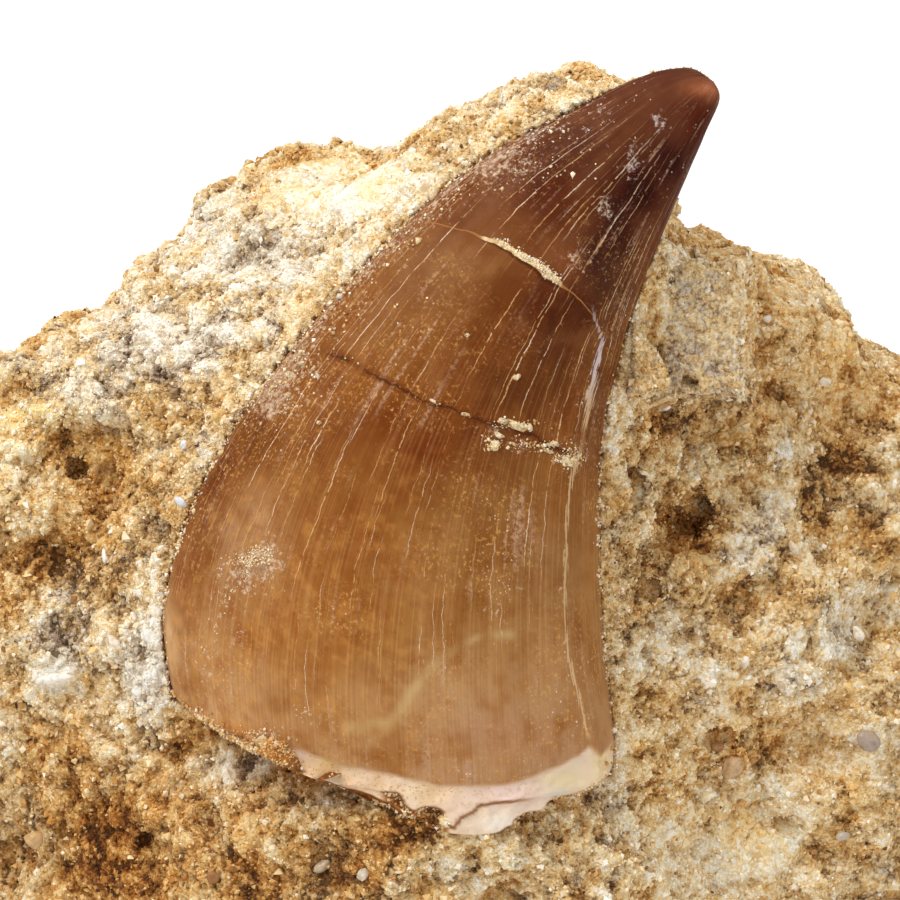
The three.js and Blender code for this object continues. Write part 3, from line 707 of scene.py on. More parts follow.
def cells(size):
    """Cells of about this many metres: how far a place is from the middle of its own, from 0 to
    about 1, and two random shares for each cell."""
    cell = shade.node("TexVoronoi", {}, {"Vector": place, "Scale": 1 / size})
    pick = Shade(shade.tree, cell.socket.node.outputs[1])
    return cell, *(pick.node("SeparateColor", {}, {0: pick}, channel) for channel in (0, 1))


SPECK_CELL, SPECK_COVER, SPECK_EDGE = 0.00018, 0.24, 0.34
cell, chosen, small = cells(SPECK_CELL)
specks = (cell / (small * 0.5 + 0.5)).between(SPECK_EDGE, SPECK_EDGE * 0.6)
specks = specks * chosen.between(1 - SPECK_COVER, 1 - SPECK_COVER + 0.02)
specks = specks * (dust + noted("bedded_edge") * 1.2).between(0.45, 1.2)
colour = laid_over(colour, paint(236, 216, 190), specks * enamelled * 0.8)

film = noted("bedded_edge") * 0.95 + noted("crust")
crust = (film - 0.56 + grain * 3.4).between(0.0, 0.7)
crust_tone = laid_over(paint(150, 112, 86), paint(226, 200, 168), grain.between(-0.08, 0.2))
crust_tone = laid_over(crust_tone, paint(206, 190, 184), up_crown.between(0.55, 0.7) * 0.8)
colour = laid_over(colour, crust_tone, crust * 0.72)
ragged_off = abs(noted("keel_line")) + grain * 2.4 + (stretched(260, 40) - 0.5) * 3.8
keel_line = ragged_off.between(1.1, 0.4) * noted("keel_line_shown")
keel_tone = laid_over(paint(222, 186, 136), paint(212, 196, 194), up_crown.between(0.36, 0.44))
colour = laid_over(colour, keel_tone, keel_line * 0.85)

low_off = abs(noted("low_crack") + grain * 0.42)
low_shown = noted("low_crack_shown")
broken = stretched(26, 40).between(0.34, 0.5) * low_shown
colour = laid_over(colour, paint(100, 42, 12), low_off.between(0.36, 0.04) * low_shown * 0.45)
colour = laid_over(colour, paint(74, 38, 16), low_off.between(0.09, 0.02) * broken * 0.8)
high_side = noted("high_crack") + grain * 0.9
high_shown = noted("high_crack_shown")
filling = abs(high_side).between(1.25, 0.85) * high_shown
full = noted("crack_filling").between(0.40, 0.75)
fill_tone = laid_over(paint(196, 156, 100), paint(244, 224, 176), grain.between(-0.12, 0.1))
fill_tone = laid_over(paint(180, 122, 68), fill_tone, full)
# A dark line painted just below the filling: a painted shadow under its raised edge.
painted_shadow_below_filling = high_side.between(-0.9, -1.3) * high_side.between(-2.4, -1.6) * full * high_shown
colour = laid_over(colour, paint(64, 26, 12), painted_shadow_below_filling * 0.7)
colour = laid_over(colour, fill_tone, filling * (0.62 + full * 0.33))

leftward = noted("leftward")
rim_dots = flecks.between(0.58, 0.66) * root * up_crown.between(-0.032, -0.016)
colour = laid_over(colour, paint(140, 82, 40), rim_dots * leftward.between(-1.0, 0.5) * 0.35)
rim_stain = root * grain.between(0.06, 0.2) * leftward.between(-4.0, 0.0)
colour = laid_over(colour, paint(196, 140, 80), rim_stain * 0.45)

ENAMEL_SHEEN, ENAMEL_BUMP, ENAMEL_BUMP_DEPTH = 0.05, 0.4, 0.00004
relief = fibres * 0.5 + flecks * (0.6 + film * 1.4)
surface(shade, {
    "Base Color": colour,
    "Roughness": 0.42 + crust * 0.4 + root * 0.3 + filling * 0.4 + (flecks - 0.5) * 0.3,
    "Specular IOR Level": ENAMEL_SHEEN,
}, relief, ENAMEL_BUMP, ENAMEL_BUMP_DEPTH)
tooth.data.materials.append(material)
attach(tooth, "root")
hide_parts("tooth")

# ---------------------------------------------------------------- block
# The loose lump of phosphate sandstone: sand in a soft limy cement, broken out of its bed in flat
# and hackly faces, scraped away from around the tooth, and flat below.

# All places on the block are measured from its heart, a point well inside it. Its side walls run
# straight back from the outline, and its broken faces each have a facing and a distance.
HEART = np.array([0.0, -2.2, -13.0])
OUTLINE = [
    (29.0, -7.0), (25.6, -0.6), (20.8, 4.6), (17.6, 7.4), (13.4, 8.9), (10.2, 9.9), (8.9, 13.2),
    (7.6, 15.8), (4.9, 16.2), (1.3, 14.8), (-3.1, 13.4), (-8.2, 12.8), (-12.7, 8.9), (-17.2, 5.3),
    (-21.0, 3.2), (-26.0, 0.2), (-29.2, -6.5), (-30.0, -16.0), (-26.0, -26.0), (-14.0, -31.0), (0.0, -32.0),
    (14.0, -31.0), (26.0, -26.0), (30.0, -16.0),
]
BROKEN_FACES = [
    ((0, 0, 1), 12.0), ((0.35, 0.05, 0.93), 13.3), ((-0.42, 0.5, 0.757), 17.4),
    ((-0.25, -0.1, 0.963), 15.6), ((0, -0.25, 0.968), 15.8), ((0.3, -0.2, 0.93), 16.2),
    ((0, 0.643, -0.766), 17.5), ((-0.7, 0.53, -0.47), 24), ((0.75, 0.42, -0.51), 23),
]
EDGE_CRISPNESS = 11
BANK_ABOVE, BANK_WIDTH = 0.2, 2.8
# Middle, half sizes and height of each large form.
FORMS = {
    "bed_below_the_root": (-1.8, -18.4, 11.5, 6.8, 5.6),
    "crest_left_of_the_tip": (4.6, 15.0, 3.4, 2.2, 0.2),
    "left_brow": (-17.0, 2.4, 5.6, 1.9, 1.0),
    "left_shoulder": (-12.5, 9.8, 3.4, 3.0, -0.6),
    "left_hollow": (-16.6, -1.4, 2.2, 1.2, -0.5),
    "low_left_hollow": (-13.4, -18.0, 2.0, 1.6, -0.7),
    "bank_by_the_left_edge": (-13.9, -7.4, 1.0, 3.4, 0.7),
    "right_shelf": (15.5, -9.5, 4.5, 3.0, 0.9),
}
# Broad swells of the broken faces: wave, height and phase.
SWELLS = [
    ((0.19, 0.11, 0.13), 1.1, 0.4), ((-0.13, 0.24, 0.08), 1.0, 2.1), ((0.41, -0.3, 0.36), 0.6, 4.0),
    ((-0.5, -0.46, 0.25), 0.5, 1.2), ((0.17, 0.66, -0.56), 0.45, 5.3), ((0.71, 0.28, 0.3), 0.4, 2.9),
    ((-0.35, 0.72, 0.33), 0.4, 0.9),
]
SWELL_BEND = 1.3
SLAB_AT, SLAB_HALF, SLAB_PROUD, SLAB_LEAN = (10.5, 5.5), (2.35, 2.9), 1.5, (0.10, -0.10)
SLAB_GROOVE, SLAB_LEFT_SLOPE, SLAB_WALL_SLOPE = 0.7, 0.35, 4.5
# Middle, half sizes, depth of the dome and how far it stands proud.
KNOBS = {
    "nodule": (-7.4, 13.0, 1.5, 1.1, 1.1, 0.7),
    "bright_chip": (-5.0, 11.7, 2.7, 1.5, 1.4, 0.3),
    "below_the_slab": (12.4, -0.2, 2.0, 1.5, 1.6, 0.7),
    "beside_the_pit": (13.4, -3.2, 1.7, 1.3, 1.3, 0.6),
    "pale_on_the_right": (16.2, -6.0, 2.3, 1.5, 1.3, 0.5),
    "far_right": (18.9, -10.2, 2.0, 1.5, 1.3, 0.6),
    "clear_grain_low_right": (12.8, -14.3, 1.2, 1.0, 1.0, 0.6),
    "grey_grain_low_right": (18.7, -15.3, 1.6, 1.2, 1.1, 0.5),
    "near_the_root": (8.6, -18.6, 1.8, 1.3, 1.1, 0.5),
    "brow": (-16.4, 1.7, 2.4, 1.3, 1.3, 0.6),
    "brow_end": (-19.8, 0.6, 1.9, 1.3, 1.2, 0.6),
    "by_the_left_edge": (-13.7, -1.6, 1.4, 1.1, 1.0, 0.4),
    "mid_left": (-17.6, -6.6, 2.0, 1.4, 1.2, 0.5),
    "pale_flake": (-17.2, -11.6, 1.8, 1.2, 1.1, 0.5),
    "low_left": (-18.3, -16.8, 1.7, 1.4, 1.3, 0.6),
    "below_the_left_edge": (-10.6, -15.4, 1.9, 1.3, 1.0, 0.4),
    "at_the_foot": (-5.5, -20.6, 2.0, 1.4, 1.2, 0.5),
}
# Middle, half sizes and depth.
PITS = {
    "deep_pit": (9.8, -3.4, 0.9, 1.5, 1.7),
    "deep_pit_beside_it": (10.9, -2.7, 0.8, 1.1, 1.5),
    "crevice_by_the_edge": (8.4, -1.9, 0.35, 1.0, 0.8),
    "pit_under_the_slab": (10.7, 3.0, 0.45, 0.35, 0.9),
    "pit_below_it": (9.7, 1.9, 0.5, 0.4, 0.9),
    "pit_by_the_edge": (9.0, -6.3, 0.45, 0.45, 0.9),
    "pit_low_on_the_right": (12.0, -12.9, 0.8, 0.6, 1.0),
    "pit_on_the_far_right": (15.2, -17.0, 0.7, 0.6, 0.9),
    "hole_below_the_brow": (-16.7, -0.9, 0.45, 0.35, 0.8),
    "hollow_low_on_the_left": (-13.2, -17.7, 0.8, 0.6, 0.8),
}
# Marks in the stone, each a middle, two half sizes and a strength: smooth chips, stains (ochre and
# rust above 0, chalky below), where it is paler or darker, and where its cement is yellow. Darker,
# browner spots on the pits are painted shade. The pale and yellow spots on the bright chip, the
# upper left and the end of the left brow are partly the stone's own colour and partly painted
# light on tops that face the lamp.
SMOOTH_CHIPS = [(-5.0, 11.9, 2.5, 1.2, 1.6), (-17.8, -10.2, 0.9, 0.4, 1.6)]
STAINS_AND_PIT_SHADE = [
    (-5.0, -18.8, 4.0, 1.6, 0.22), (-14.0, -18.8, 4.0, 1.4, 0.14), (-9.0, 8.0, 5.0, 4.0, -0.10),
    (-16.5, -10.0, 3.0, 3.0, -0.16), (-7.3, 13.4, 0.9, 0.6, 0.25), (13.0, -17.5, 4.0, 2.2, 0.1),
    (-15.1, -0.8, 2.6, 1.6, 0.30), (-17.5, -4.0, 2.4, 1.6, 0.26), (-11.3, -12.4, 1.6, 1.2, 0.4),
    (-15.6, -17.0, 6.0, 3.6, 0.30), (-13.9, -19.0, 1.2, 1.2, 0.2), (-13.4, -9.5, 1.1, 4.0, -0.35),
    (-17.0, -9.5, 2.5, 2.4, -0.25), (-10.5, 7.5, 5.0, 4.5, -0.32), (-14.5, 4.0, 4.0, 2.0, -0.25),
    (5.0, 15.6, 3.8, 1.8, -0.06), (-19.2, 2.0, 1.6, 2.4, 0.12), (10.8, 5.3, 2.4, 3.2, -0.36),
    (14.2, 6.0, 0.9, 3.0, 0.2), (11.0, 9.2, 3.0, 0.5, 0.2), (16.2, 5.0, 4.0, 4.5, 0.16),
    # (10.4, -3.2), browner in the deep pit, is painted shade.
    (8.9, 7.6, 0.7, 2.4, 0.4), (10.4, -3.2, 1.5, 1.6, 0.35), (13.8, -3.2, 1.8, 1.8, -0.35),
    (17.8, -4.0, 2.4, 1.6, 0.28), (16.5, -8.6, 3.0, 2.2, -0.26), (10.2, -8.2, 1.8, 2.0, -0.1),
    (9.8, -13.6, 2.2, 2.0, 0.22), (15.0, -13.2, 3.2, 1.2, 0.26), (-0.2, -18.8, 5.0, 1.3, -0.2),
    (11.5, -18.5, 3.0, 1.6, -0.15), (6.8, -15.9, 1.8, 1.0, -0.2), (-9.6, -13.9, 2.8, 0.9, -0.3),
    (-3.0, -16.6, 2.0, 0.8, 0.35), (12.6, 1.0, 2.4, 1.0, 0.25), (18.0, -1.0, 1.5, 1.2, 0.25),
]
# Darker spots at (10.7, 3.0), (-16.6, -0.9), (10.4, -3.2), (9.2, 1.2), (8.2, -3.0) and (8.6, -6.8) sit on
# pits and crevices: painted shade.
PALENESS_AND_PAINTED_LIGHT = [
    # The pale spots at (-9.0, 8.5), (-12.5, 6.0), (-4.6, 11.9), (-5.0, 11.9) and (-19.4, 0.8), on the upper
    # left, the bright chip and the end of the brow, are partly the stone's own colour and partly painted
    # light.
    (-15.6, -17.0, 5.0, 3.0, -0.13), (-5.0, -18.8, 4.0, 1.6, -0.26), (13.0, -17.5, 4.0, 2.2, 0.37),
    (15.5, -11.0, 4.0, 3.0, 0.12), (-16.5, -10.0, 3.0, 3.0, 0.06), (-7.3, 13.4, 0.9, 0.6, -0.3),
    (-9.5, 13.2, 1.6, 0.8, -0.2), (-17.5, -1.0, 2.6, 3.0, 0.15), (-10.0, 7.0, 3.0, 3.0, -0.05),
    (-13.5, 1.0, 2.5, 2.5, -0.06), (16.0, 6.0, 3.0, 2.5, 0.12), (9.8, -3.2, 1.6, 1.6, 0.10),
    (8.8, -8.0, 1.6, 6.0, 0.11), (-5.0, 11.9, 2.2, 1.0, 0.15), (-16.5, -6.0, 3.0, 2.5, -0.18),
    (-11.5, 5.8, 3.0, 3.0, -0.10), (15.0, 4.5, 3.5, 3.0, 0.12), (-9.0, 8.5, 4.5, 4.0, 0.22),
    (-12.5, 6.0, 3.0, 3.0, 0.2), (-19.4, 0.8, 1.2, 1.6, 0.3), (-4.6, 11.9, 3.0, 1.4, 0.3),
    (-9.6, 6.8, 1.3, 1.0, -0.26), (-8.6, 9.6, 1.0, 0.8, -0.16), (-13.4, 3.2, 1.3, 1.0, -0.2),
    (-16.6, -0.9, 0.8, 0.6, -0.3), (-13.2, -2.6, 1.6, 1.0, -0.2), (-17.6, -4.2, 1.8, 1.0, -0.16),
    (-17.8, -10.2, 1.0, 1.0, 0.3), (-14.0, -10.8, 1.0, 1.4, 0.26), (-13.4, -7.0, 0.8, 2.6, 0.26),
    (-15.4, -16.9, 2.2, 1.2, -0.26), (-13.6, -19.0, 1.2, 1.2, -0.32), (-2.2, -16.5, 2.2, 0.9, -0.3),
    (-8.6, -18.0, 2.0, 1.4, 0.1), (3.4, -18.4, 3.0, 1.3, 0.16), (11.4, -18.6, 2.6, 1.4, 0.26),
    (17.6, -13.6, 1.8, 1.2, 0.2), (12.6, -13.8, 1.2, 0.8, -0.2), (10.3, -8.4, 1.6, 1.6, 0.16),
    (13.6, -3.6, 1.6, 1.4, 0.14), (17.8, -6.8, 1.6, 2.4, 0.16), (17.8, -3.4, 1.4, 0.8, -0.24),
    (8.2, -3.0, 1.1, 2.6, -0.2), (8.6, -6.8, 0.9, 1.2, -0.22), (10.4, -3.2, 1.6, 1.6, -0.3),
    (10.7, 3.0, 0.6, 0.4, -0.3), (9.2, 1.2, 0.9, 0.9, -0.26), (14.0, 2.4, 1.2, 0.9, -0.26),
    (17.8, -0.9, 1.2, 0.9, -0.3), (10.8, 6.6, 1.8, 2.0, 0.14), (13.4, 7.6, 2.6, 1.2, 0.18),
    (17.0, 2.6, 2.4, 1.6, 0.14), (5.6, 15.6, 3.0, 1.2, 0.1),
]
# The yellow at (-3.8, 11.6) and (-6.6, 11.9) on the bright chip and at (-19.2, 1.6) on the end of the brow is
# partly the cement's colour and partly painted light.
YELLOWS = [
    (-3.8, 11.6, 1.2, 0.9, 0.55), (-6.6, 11.9, 1.6, 0.8, 0.15), (-19.2, 1.6, 1.4, 2.0, 0.8),
    (-15.5, 0.0, 3.6, 2.4, 0.45), (-17.5, -4.0, 2.4, 1.6, 0.3), (4.5, 14.6, 4.5, 1.8, 0.2),
    (-9.6, 3.0, 1.0, 1.4, 0.4), (9.4, -13.4, 1.6, 1.6, 0.3), (12.2, -1.0, 2.0, 2.4, 0.25),
    (14.0, -17.0, 4.0, 2.0, 0.3), (-14.4, -17.5, 4.0, 2.4, 0.2),
]


SECTION_STEP, ON_SECTION = 0.125, 0.3


def near_tooth(u, v):
    """How far places on the face lie outside the tooth's outline, less than 0 inside it, and the
    height of its widest line at the nearest section."""
    apart = np.full(np.shape(u), np.inf)
    level = np.zeros(np.shape(u))
    for at in np.arange(0, TIP_STATION + 0.01, SECTION_STEP):
        (u0, v0), (u1, v1) = through(LEFT_EDGE, np.array(at)), through(RIGHT_EDGE, np.array(at))
        wide = max(math.hypot(u1 - u0, v1 - v0), 1e-6)
        along = ((u - u0) * (u1 - u0) + (v - v0) * (v1 - v0)) / wide
        off = np.hypot(u - u0 - np.clip(along, 0, wide) * (u1 - u0) / wide,
                       v - v0 - np.clip(along, 0, wide) * (v1 - v0) / wide)
        closer = off < np.abs(np.where(apart < 0, ON_SECTION, apart))
        inside = (off < ON_SECTION) & (along > 0) & (along < wide)
        level = np.where(closer, tooth_level(at), level)
        apart = np.where(closer, off, apart)
        apart = np.where(inside, np.minimum(apart, -np.minimum(along, wide - along)), apart)
    return apart, level


TOP_BITS = 2**24


def lumps(points, size, seed):
    """Lumps packed together: each takes the places nearest to its own of the points scattered
    one to a cube of this size. Gives one less the distance to it, and a random share for each."""
    scaled = points / size
    cube = np.floor(scaled).astype(np.int64)
    nearest = np.full(points.shape[:-1], 9.0)
    pick = np.zeros(points.shape[:-1])
    for step in np.ndindex(3, 3, 3):
        at = cube + np.array(step) - 1
        code = cell_code(at, seed)
        off = 0.0
        for axis in range(3):
            code = stirred(code)
            off = off + (at[..., axis] + (code >> 8) / TOP_BITS - scaled[..., axis]) ** 2
        code = (code ^ (code >> 13)) * LAST_STIR % WORD
        pick = np.where(off < nearest, (code >> 8) / TOP_BITS, pick)
        nearest = np.minimum(nearest, off)
    return 1 - np.sqrt(nearest), pick


OUTLINE_STEPS = 6000


def block_reach(angle, way_round):
    """Distance from the heart to the skin: the nearest of the side wall, straight back from the
    outline, and the broken faces, rounded where they meet by adding their inverse powers."""
    along = np.linspace(0, len(OUTLINE), OUTLINE_STEPS, endpoint=False)
    ring = through(OUTLINE, along, closed=True) - HEART[:2]
    turns = np.unwrap(np.arctan2(ring[:, 1], ring[:, 0]))
    turned_to = (way_round - turns[0]) % (2 * np.pi) + turns[0]
    wall = np.interp(turned_to, turns, np.hypot(ring[:, 0], ring[:, 1]))
    sideways = np.sin(angle)
    direction = [sideways * np.cos(way_round), sideways * np.sin(way_round), np.cos(angle)]
    direction = np.stack(direction, -1)
    total = (np.sin(angle) / wall) ** EDGE_CRISPNESS
    for normal, reach in BROKEN_FACES:
        total = total + (np.maximum(0, direction @ np.array(normal)) / reach) ** EDGE_CRISPNESS
    return total ** (-1 / EDGE_CRISPNESS), direction


def relieved(place, outward):
    """The skin with its forms, swells, bank, slab, knobs and pits: each moves a point along its
    outward direction, or lifts it from the face."""
    u, v = place[..., 0], place[..., 1]
    front = eased(outward[..., 2] / 0.5)
    lift = np.zeros(u.shape)
    for u0, v0, wide, high, rise in FORMS.values():
        lift += rise * np.exp(-((((u - u0) / wide) ** 2 + ((v - v0) / high) ** 2) ** 2))
    lift *= front
    bent = place + SWELL_BEND * np.stack([
        np.sin(0.35 * v + 0.2 * place[..., 2]),
        np.sin(0.3 * place[..., 2] - 0.25 * u),
        np.sin(0.4 * u + 0.15 * v),
    ], -1)
    for wave, height, phase in SWELLS:
        lift += height * (np.abs(np.sin(bent @ np.array(wave) + phase)) - 0.6)
    place = place + outward * lift[..., None]
    u, v, w = place[..., 0], place[..., 1], place[..., 2]
    apart, level = near_tooth(u, v)
    share = close_to(np.maximum(0, apart), BANK_WIDTH) * front
    w = w + np.maximum(0, level + BANK_ABOVE - w) * share
    ragged = 0.25 * lattice_noise(place, 0.9, 21)
    beyond = np.maximum(np.abs(u - SLAB_AT[0]) - SLAB_HALF[0], np.abs(v - SLAB_AT[1]) - SLAB_HALF[1])
    at_slab = np.exp(-((u - SLAB_AT[0]) ** 2 + (v - SLAB_AT[1]) ** 2) / 0.5) * front
    slab_top = (w * at_slab).sum() / (at_slab.sum() or 1.0) + SLAB_PROUD
    slab_top = slab_top + SLAB_LEAN[0] * (v - SLAB_AT[1]) + SLAB_LEAN[1] * (u - SLAB_AT[0])
    slab_top = slab_top - SLAB_LEFT_SLOPE * np.maximum(0, SLAB_AT[0] - 1.1 - u + 2 * ragged)
    edge = beyond + 0.6 * ragged
    groove = SLAB_GROOVE * close_to(edge - 0.4, 0.3) * front
    w = w - groove * eased((u - SLAB_AT[0] + 2) / 1.5)
    slab_w = slab_top - SLAB_WALL_SLOPE * np.maximum(0, edge)
    on_slab = (slab_w > w) & (edge < 0)
    w = np.where(front > 0.5, np.maximum(w, slab_w), w)
    for u0, v0, wide, high, deep, proud in KNOBS.values():
        far = ((u - u0) / wide) ** 2 + ((v - v0) / high) ** 2 + ragged
        w = w + np.maximum(0, proud - deep + deep * np.sqrt(np.clip(1 - far, 0, 1))) * front
    for u0, v0, wide, high, deep in PITS.values():
        far = ((u - u0) / wide) ** 2 + ((v - v0) / high) ** 2 + 1.6 * ragged
        w = w - deep * np.sqrt(np.clip(1 - far, 0, 1)) * front
    return np.stack([u, v, w], -1), apart, level, on_slab & (front > 0.5)


UNDERSIDE, UNDERCUT = 0.01, 0.7
FOOT_WORN, FOOT_HEIGHT = 1.0, 1.6


def stood_on_base(place):
    """World places of the skin, with what lies below the flat underside drawn in along its line
    from the heart until it lies on it, and then further in along the floor, by the undercut or
    by five times how far below it was. The foot above it is worn back as well, by FOOT_WORN at
    the underside and less with the square of the height, to nothing at FOOT_HEIGHT."""
    world = in_the_part(place)
    heart = in_the_part(HEART)
    below = np.maximum(0, UNDERSIDE - world[..., 2])
    share = (heart[2] - UNDERSIDE) / (heart[2] - UNDERSIDE + below)
    stood = heart + (world - heart) * share[..., None]
    out_from = stood[..., :2] - heart[:2]
    wide = np.maximum(np.linalg.norm(out_from, axis=-1, keepdims=True), 1e-6)
    worn = FOOT_WORN * np.clip(1 - (stood[..., 2] - UNDERSIDE) / FOOT_HEIGHT, 0, 1) ** 2
    drawn_in = np.minimum(UNDERCUT, 5 * below) + worn
    stood[..., :2] -= out_from * np.minimum(drawn_in[..., None] / wide, 0.9)
    return stood


CLOD_SIZE, CRUMB_SIZE, GRIT_SIZE = 2.4, 1.0, 0.42


def block_zone(angles, columns):
    """One zone of the block's skin, on rings at these angles from the heart's axis: the world
    place of each point, and its stain, how pale it is (with painted light on the tops of its relief
    and painted shade between them), how yellow it is, how far it lies outside the tooth, how far it
    faces the front, and whether it is smooth. The skin is roughened by packed lumps of three sizes
    and by noise, less on the slab and on the chips."""
    angle, way_round = np.meshgrid(angles, 2 * np.pi * np.arange(columns) / columns, indexing="ij")
    reach, direction = block_reach(angle, way_round)
    plain = HEART + direction * reach[..., None]
    rough_skin, apart, level, on_slab = relieved(plain, facing_of(plain))
    facing = facing_of(rough_skin)
    chips = eased(patches(rough_skin[..., 0], rough_skin[..., 1], SMOOTH_CHIPS))
    chips = chips * (facing[..., 2] > 0.2)
    quiet = 1 - 0.85 * on_slab - 0.9 * chips
    middling = rough_noise(rough_skin, 0.9, 36, 4, 0.7)
    bent = rough_skin + 0.5 * lattice_noise(rough_skin, 1.6, 31)[..., None]
    clod, clod_pick = lumps(bent, CLOD_SIZE, 32)
    crumb, crumb_pick = lumps(bent, CRUMB_SIZE, 33)
    grit, grit_pick = lumps(bent, GRIT_SIZE, 34)
    hackle = (0.26 * (clod - 0.8) + 0.22 * (clod_pick - 0.8)) * quiet
    hackle = hackle + (0.13 * (crumb - 0.6) + 0.22 * (crumb_pick - 0.6)) * quiet
    hackle = hackle + (0.12 * (grit - 0.55) + 0.16 * (grit_pick - 0.5) + 0.20 * middling) * (1 - 0.8 * chips)
    hackle = hackle * (1 - 0.3 * eased((rough_skin[..., 0] - 8) / 3))
    hackle = hackle * (0.5 + 0.5 * eased(apart / 1.5)) + 0.15 * close_to(apart, 0.8)
    skin = rough_skin + facing * hackle[..., None]
    front = eased(facing[..., 2] / 0.4)
    under = (apart < 0) & (front > 0)
    skin[..., 2] = np.where(under, np.minimum(skin[..., 2], level + 1.2 * apart), skin[..., 2])
    u, v = skin[..., 0], skin[..., 1]
    warmth = 0.53 + patches(u, v, STAINS_AND_PIT_SHADE) * front + 0.26 * rough_noise(skin, 2.2, 41, 2)
    warmth = warmth + 0.14 * rough_noise(skin, 0.7, 42, 3)
    warmth = warmth + 0.20 * (crumb_pick - 0.5) + 0.14 * (grit_pick - 0.5)
    paleness = 0.59 + patches(u, v, PALENESS_AND_PAINTED_LIGHT) * front + 0.10 * lattice_noise(skin, 1.5, 43)
    # The paleness rises on the tops of the lumps and of the relief and falls between them: painted light and
    # shade over the crumbs' own random tones. The chips are paler too, the bright chip partly by painted
    # light.
    crumb_tone_and_shade = 0.3 * (crumb + crumb_pick + grit + grit_pick - 2.15)
    paleness = paleness + 0.3 * (hackle + 0.24) + 0.16 * middling
    paleness = paleness + crumb_tone_and_shade * (1 - 0.8 * chips) + 0.4 * chips
    paleness = paleness + (0.46 + 0.08 * middling - paleness) * 0.75 * on_slab
    warmth = warmth + (0.24 + 0.3 * middling - warmth) * 0.5 * on_slab
    yellow = patches(u, v, YELLOWS) * front * (0.6 + 0.5 * middling)
    return stood_on_base(skin), {
        "warmth": np.clip(warmth, 0, 1), "paleness": np.clip(paleness, 0, 1),
        "yellow": np.clip(yellow, 0, 1), "apart": apart,
        "front": front, "smooth": np.maximum(on_slab, chips),
    }


UNDER_TOOTH, NEAR_REACH, FAR_REACH = 5.5, 14.0, 30.0
COARSE, FINE, MEDIUM = 0.5, 0.125, 0.15
SIDES_END, BACK_START, BACK_END = math.radians(105.3), math.radians(104.2), math.pi * 0.992


def rows_between(near, far, step):
    """Angles from the heart's axis of rings about this far apart on a face square to it."""
    rings = np.linspace(near, far, int(round((far - near) / step)) + 1)
    return np.arctan2(rings, -HEART[2])


inner_rows = [rows_between(0.4, UNDER_TOOTH, COARSE)[:-1], rows_between(UNDER_TOOTH, NEAR_REACH + FINE, FINE)]
outer_rows = rows_between(NEAR_REACH - MEDIUM, FAR_REACH + MEDIUM, MEDIUM)
side_start = math.atan2(FAR_REACH - MEDIUM, -HEART[2])
# Rows and columns of each zone. Neighbours overlap a little, and the end rows where they meet are
# tucked in and closed through the heart, so no gap opens between them.
zone_angles = {
    "block_inner_face": (np.concatenate(inner_rows), 620),
    "block_outer_face": (outer_rows, 840),
    "block_sides": (np.linspace(side_start, SIDES_END, 109), 840),
    "block_back_and_underside": (np.linspace(BACK_START, BACK_END, 97), 520),
}
heart_point = in_the_part(HEART)
TUCKED_IN = 0.988
zones = {}
for name, (angles, columns) in zone_angles.items():
    places, notes = block_zone(angles, columns)
    if name != "block_inner_face":
        places[0] = heart_point + TUCKED_IN * (places[0] - heart_point)
    if name != "block_back_and_underside":
        places[-1] = heart_point + TUCKED_IN * (places[-1] - heart_point)
    first = places[0].mean(0) if name == "block_inner_face" else heart_point
    last = places[-1].mean(0) if name == "block_back_and_underside" else heart_point
    piece = wrapped_mesh(name, first, places, last)
    for key in ("warmth", "paleness", "yellow"):
        note_grid(piece, key, notes[key])
    cut = np.zeros(len(piece.data.polygons), bool)
    cut[-2 * columns:-columns] = name != "block_inner_face"
    cut[-columns:] = name != "block_back_and_underside"
    piece.data.polygons.foreach_set("use_smooth", ~cut)
    zones[name] = (piece, places, notes)

# Four kinds of sand, each from dark to pale.
CHALK = [
    (0.00, paint(98, 76, 58)), (0.25, paint(164, 140, 115)), (0.50, paint(214, 196, 170)),
    (0.75, paint(242, 229, 206)), (1.00, paint(255, 252, 242)),
]
CREAM = [
    (0.00, paint(96, 66, 36)), (0.25, paint(166, 128, 80)), (0.50, paint(218, 184, 130)),
    (0.75, paint(242, 218, 172)), (1.00, paint(255, 248, 231)),
]
OCHRE = [
    (0.00, paint(84, 48, 20)), (0.25, paint(158, 106, 50)), (0.50, paint(206, 156, 88)),
    (0.75, paint(234, 194, 128)), (1.00, paint(250, 228, 182)),
]
RUST = [
    (0.00, paint(66, 34, 12)), (0.25, paint(120, 68, 24)), (0.50, paint(172, 110, 46)),
    (0.75, paint(212, 154, 80)), (1.00, paint(244, 202, 132)),
]


def sand_colour(tone, warm):
    """Sand from chalky through cream and ochre to rust by its stain, each from dark to pale."""
    colour = shade.node("ValToRGB", {"stops": CHALK}, {0: tone})
    for stops, low, high in ((CREAM, 0.08, 0.36), (OCHRE, 0.40, 0.72), (RUST, 0.74, 1.0)):
        next_kind = shade.node("ValToRGB", {"stops": stops}, {0: tone})
        colour = laid_over(colour, next_kind, warm.between(low, high))
    return colour


material, shade = new_material("phosphate_sandstone")
place = shade.node("TexCoord", output=OBJECT_PLACE)
fine = cloud(0.00016, 2.0, 0.7) - 0.5
GRAIN_CELL, YELLOW_CEMENT, STONE_BUMP, STONE_BUMP_DEPTH = 0.0002, (1.0, 0.94, 0.62), 0.9, 0.00022
cell, own_tone, own_warmth = cells(GRAIN_CELL)
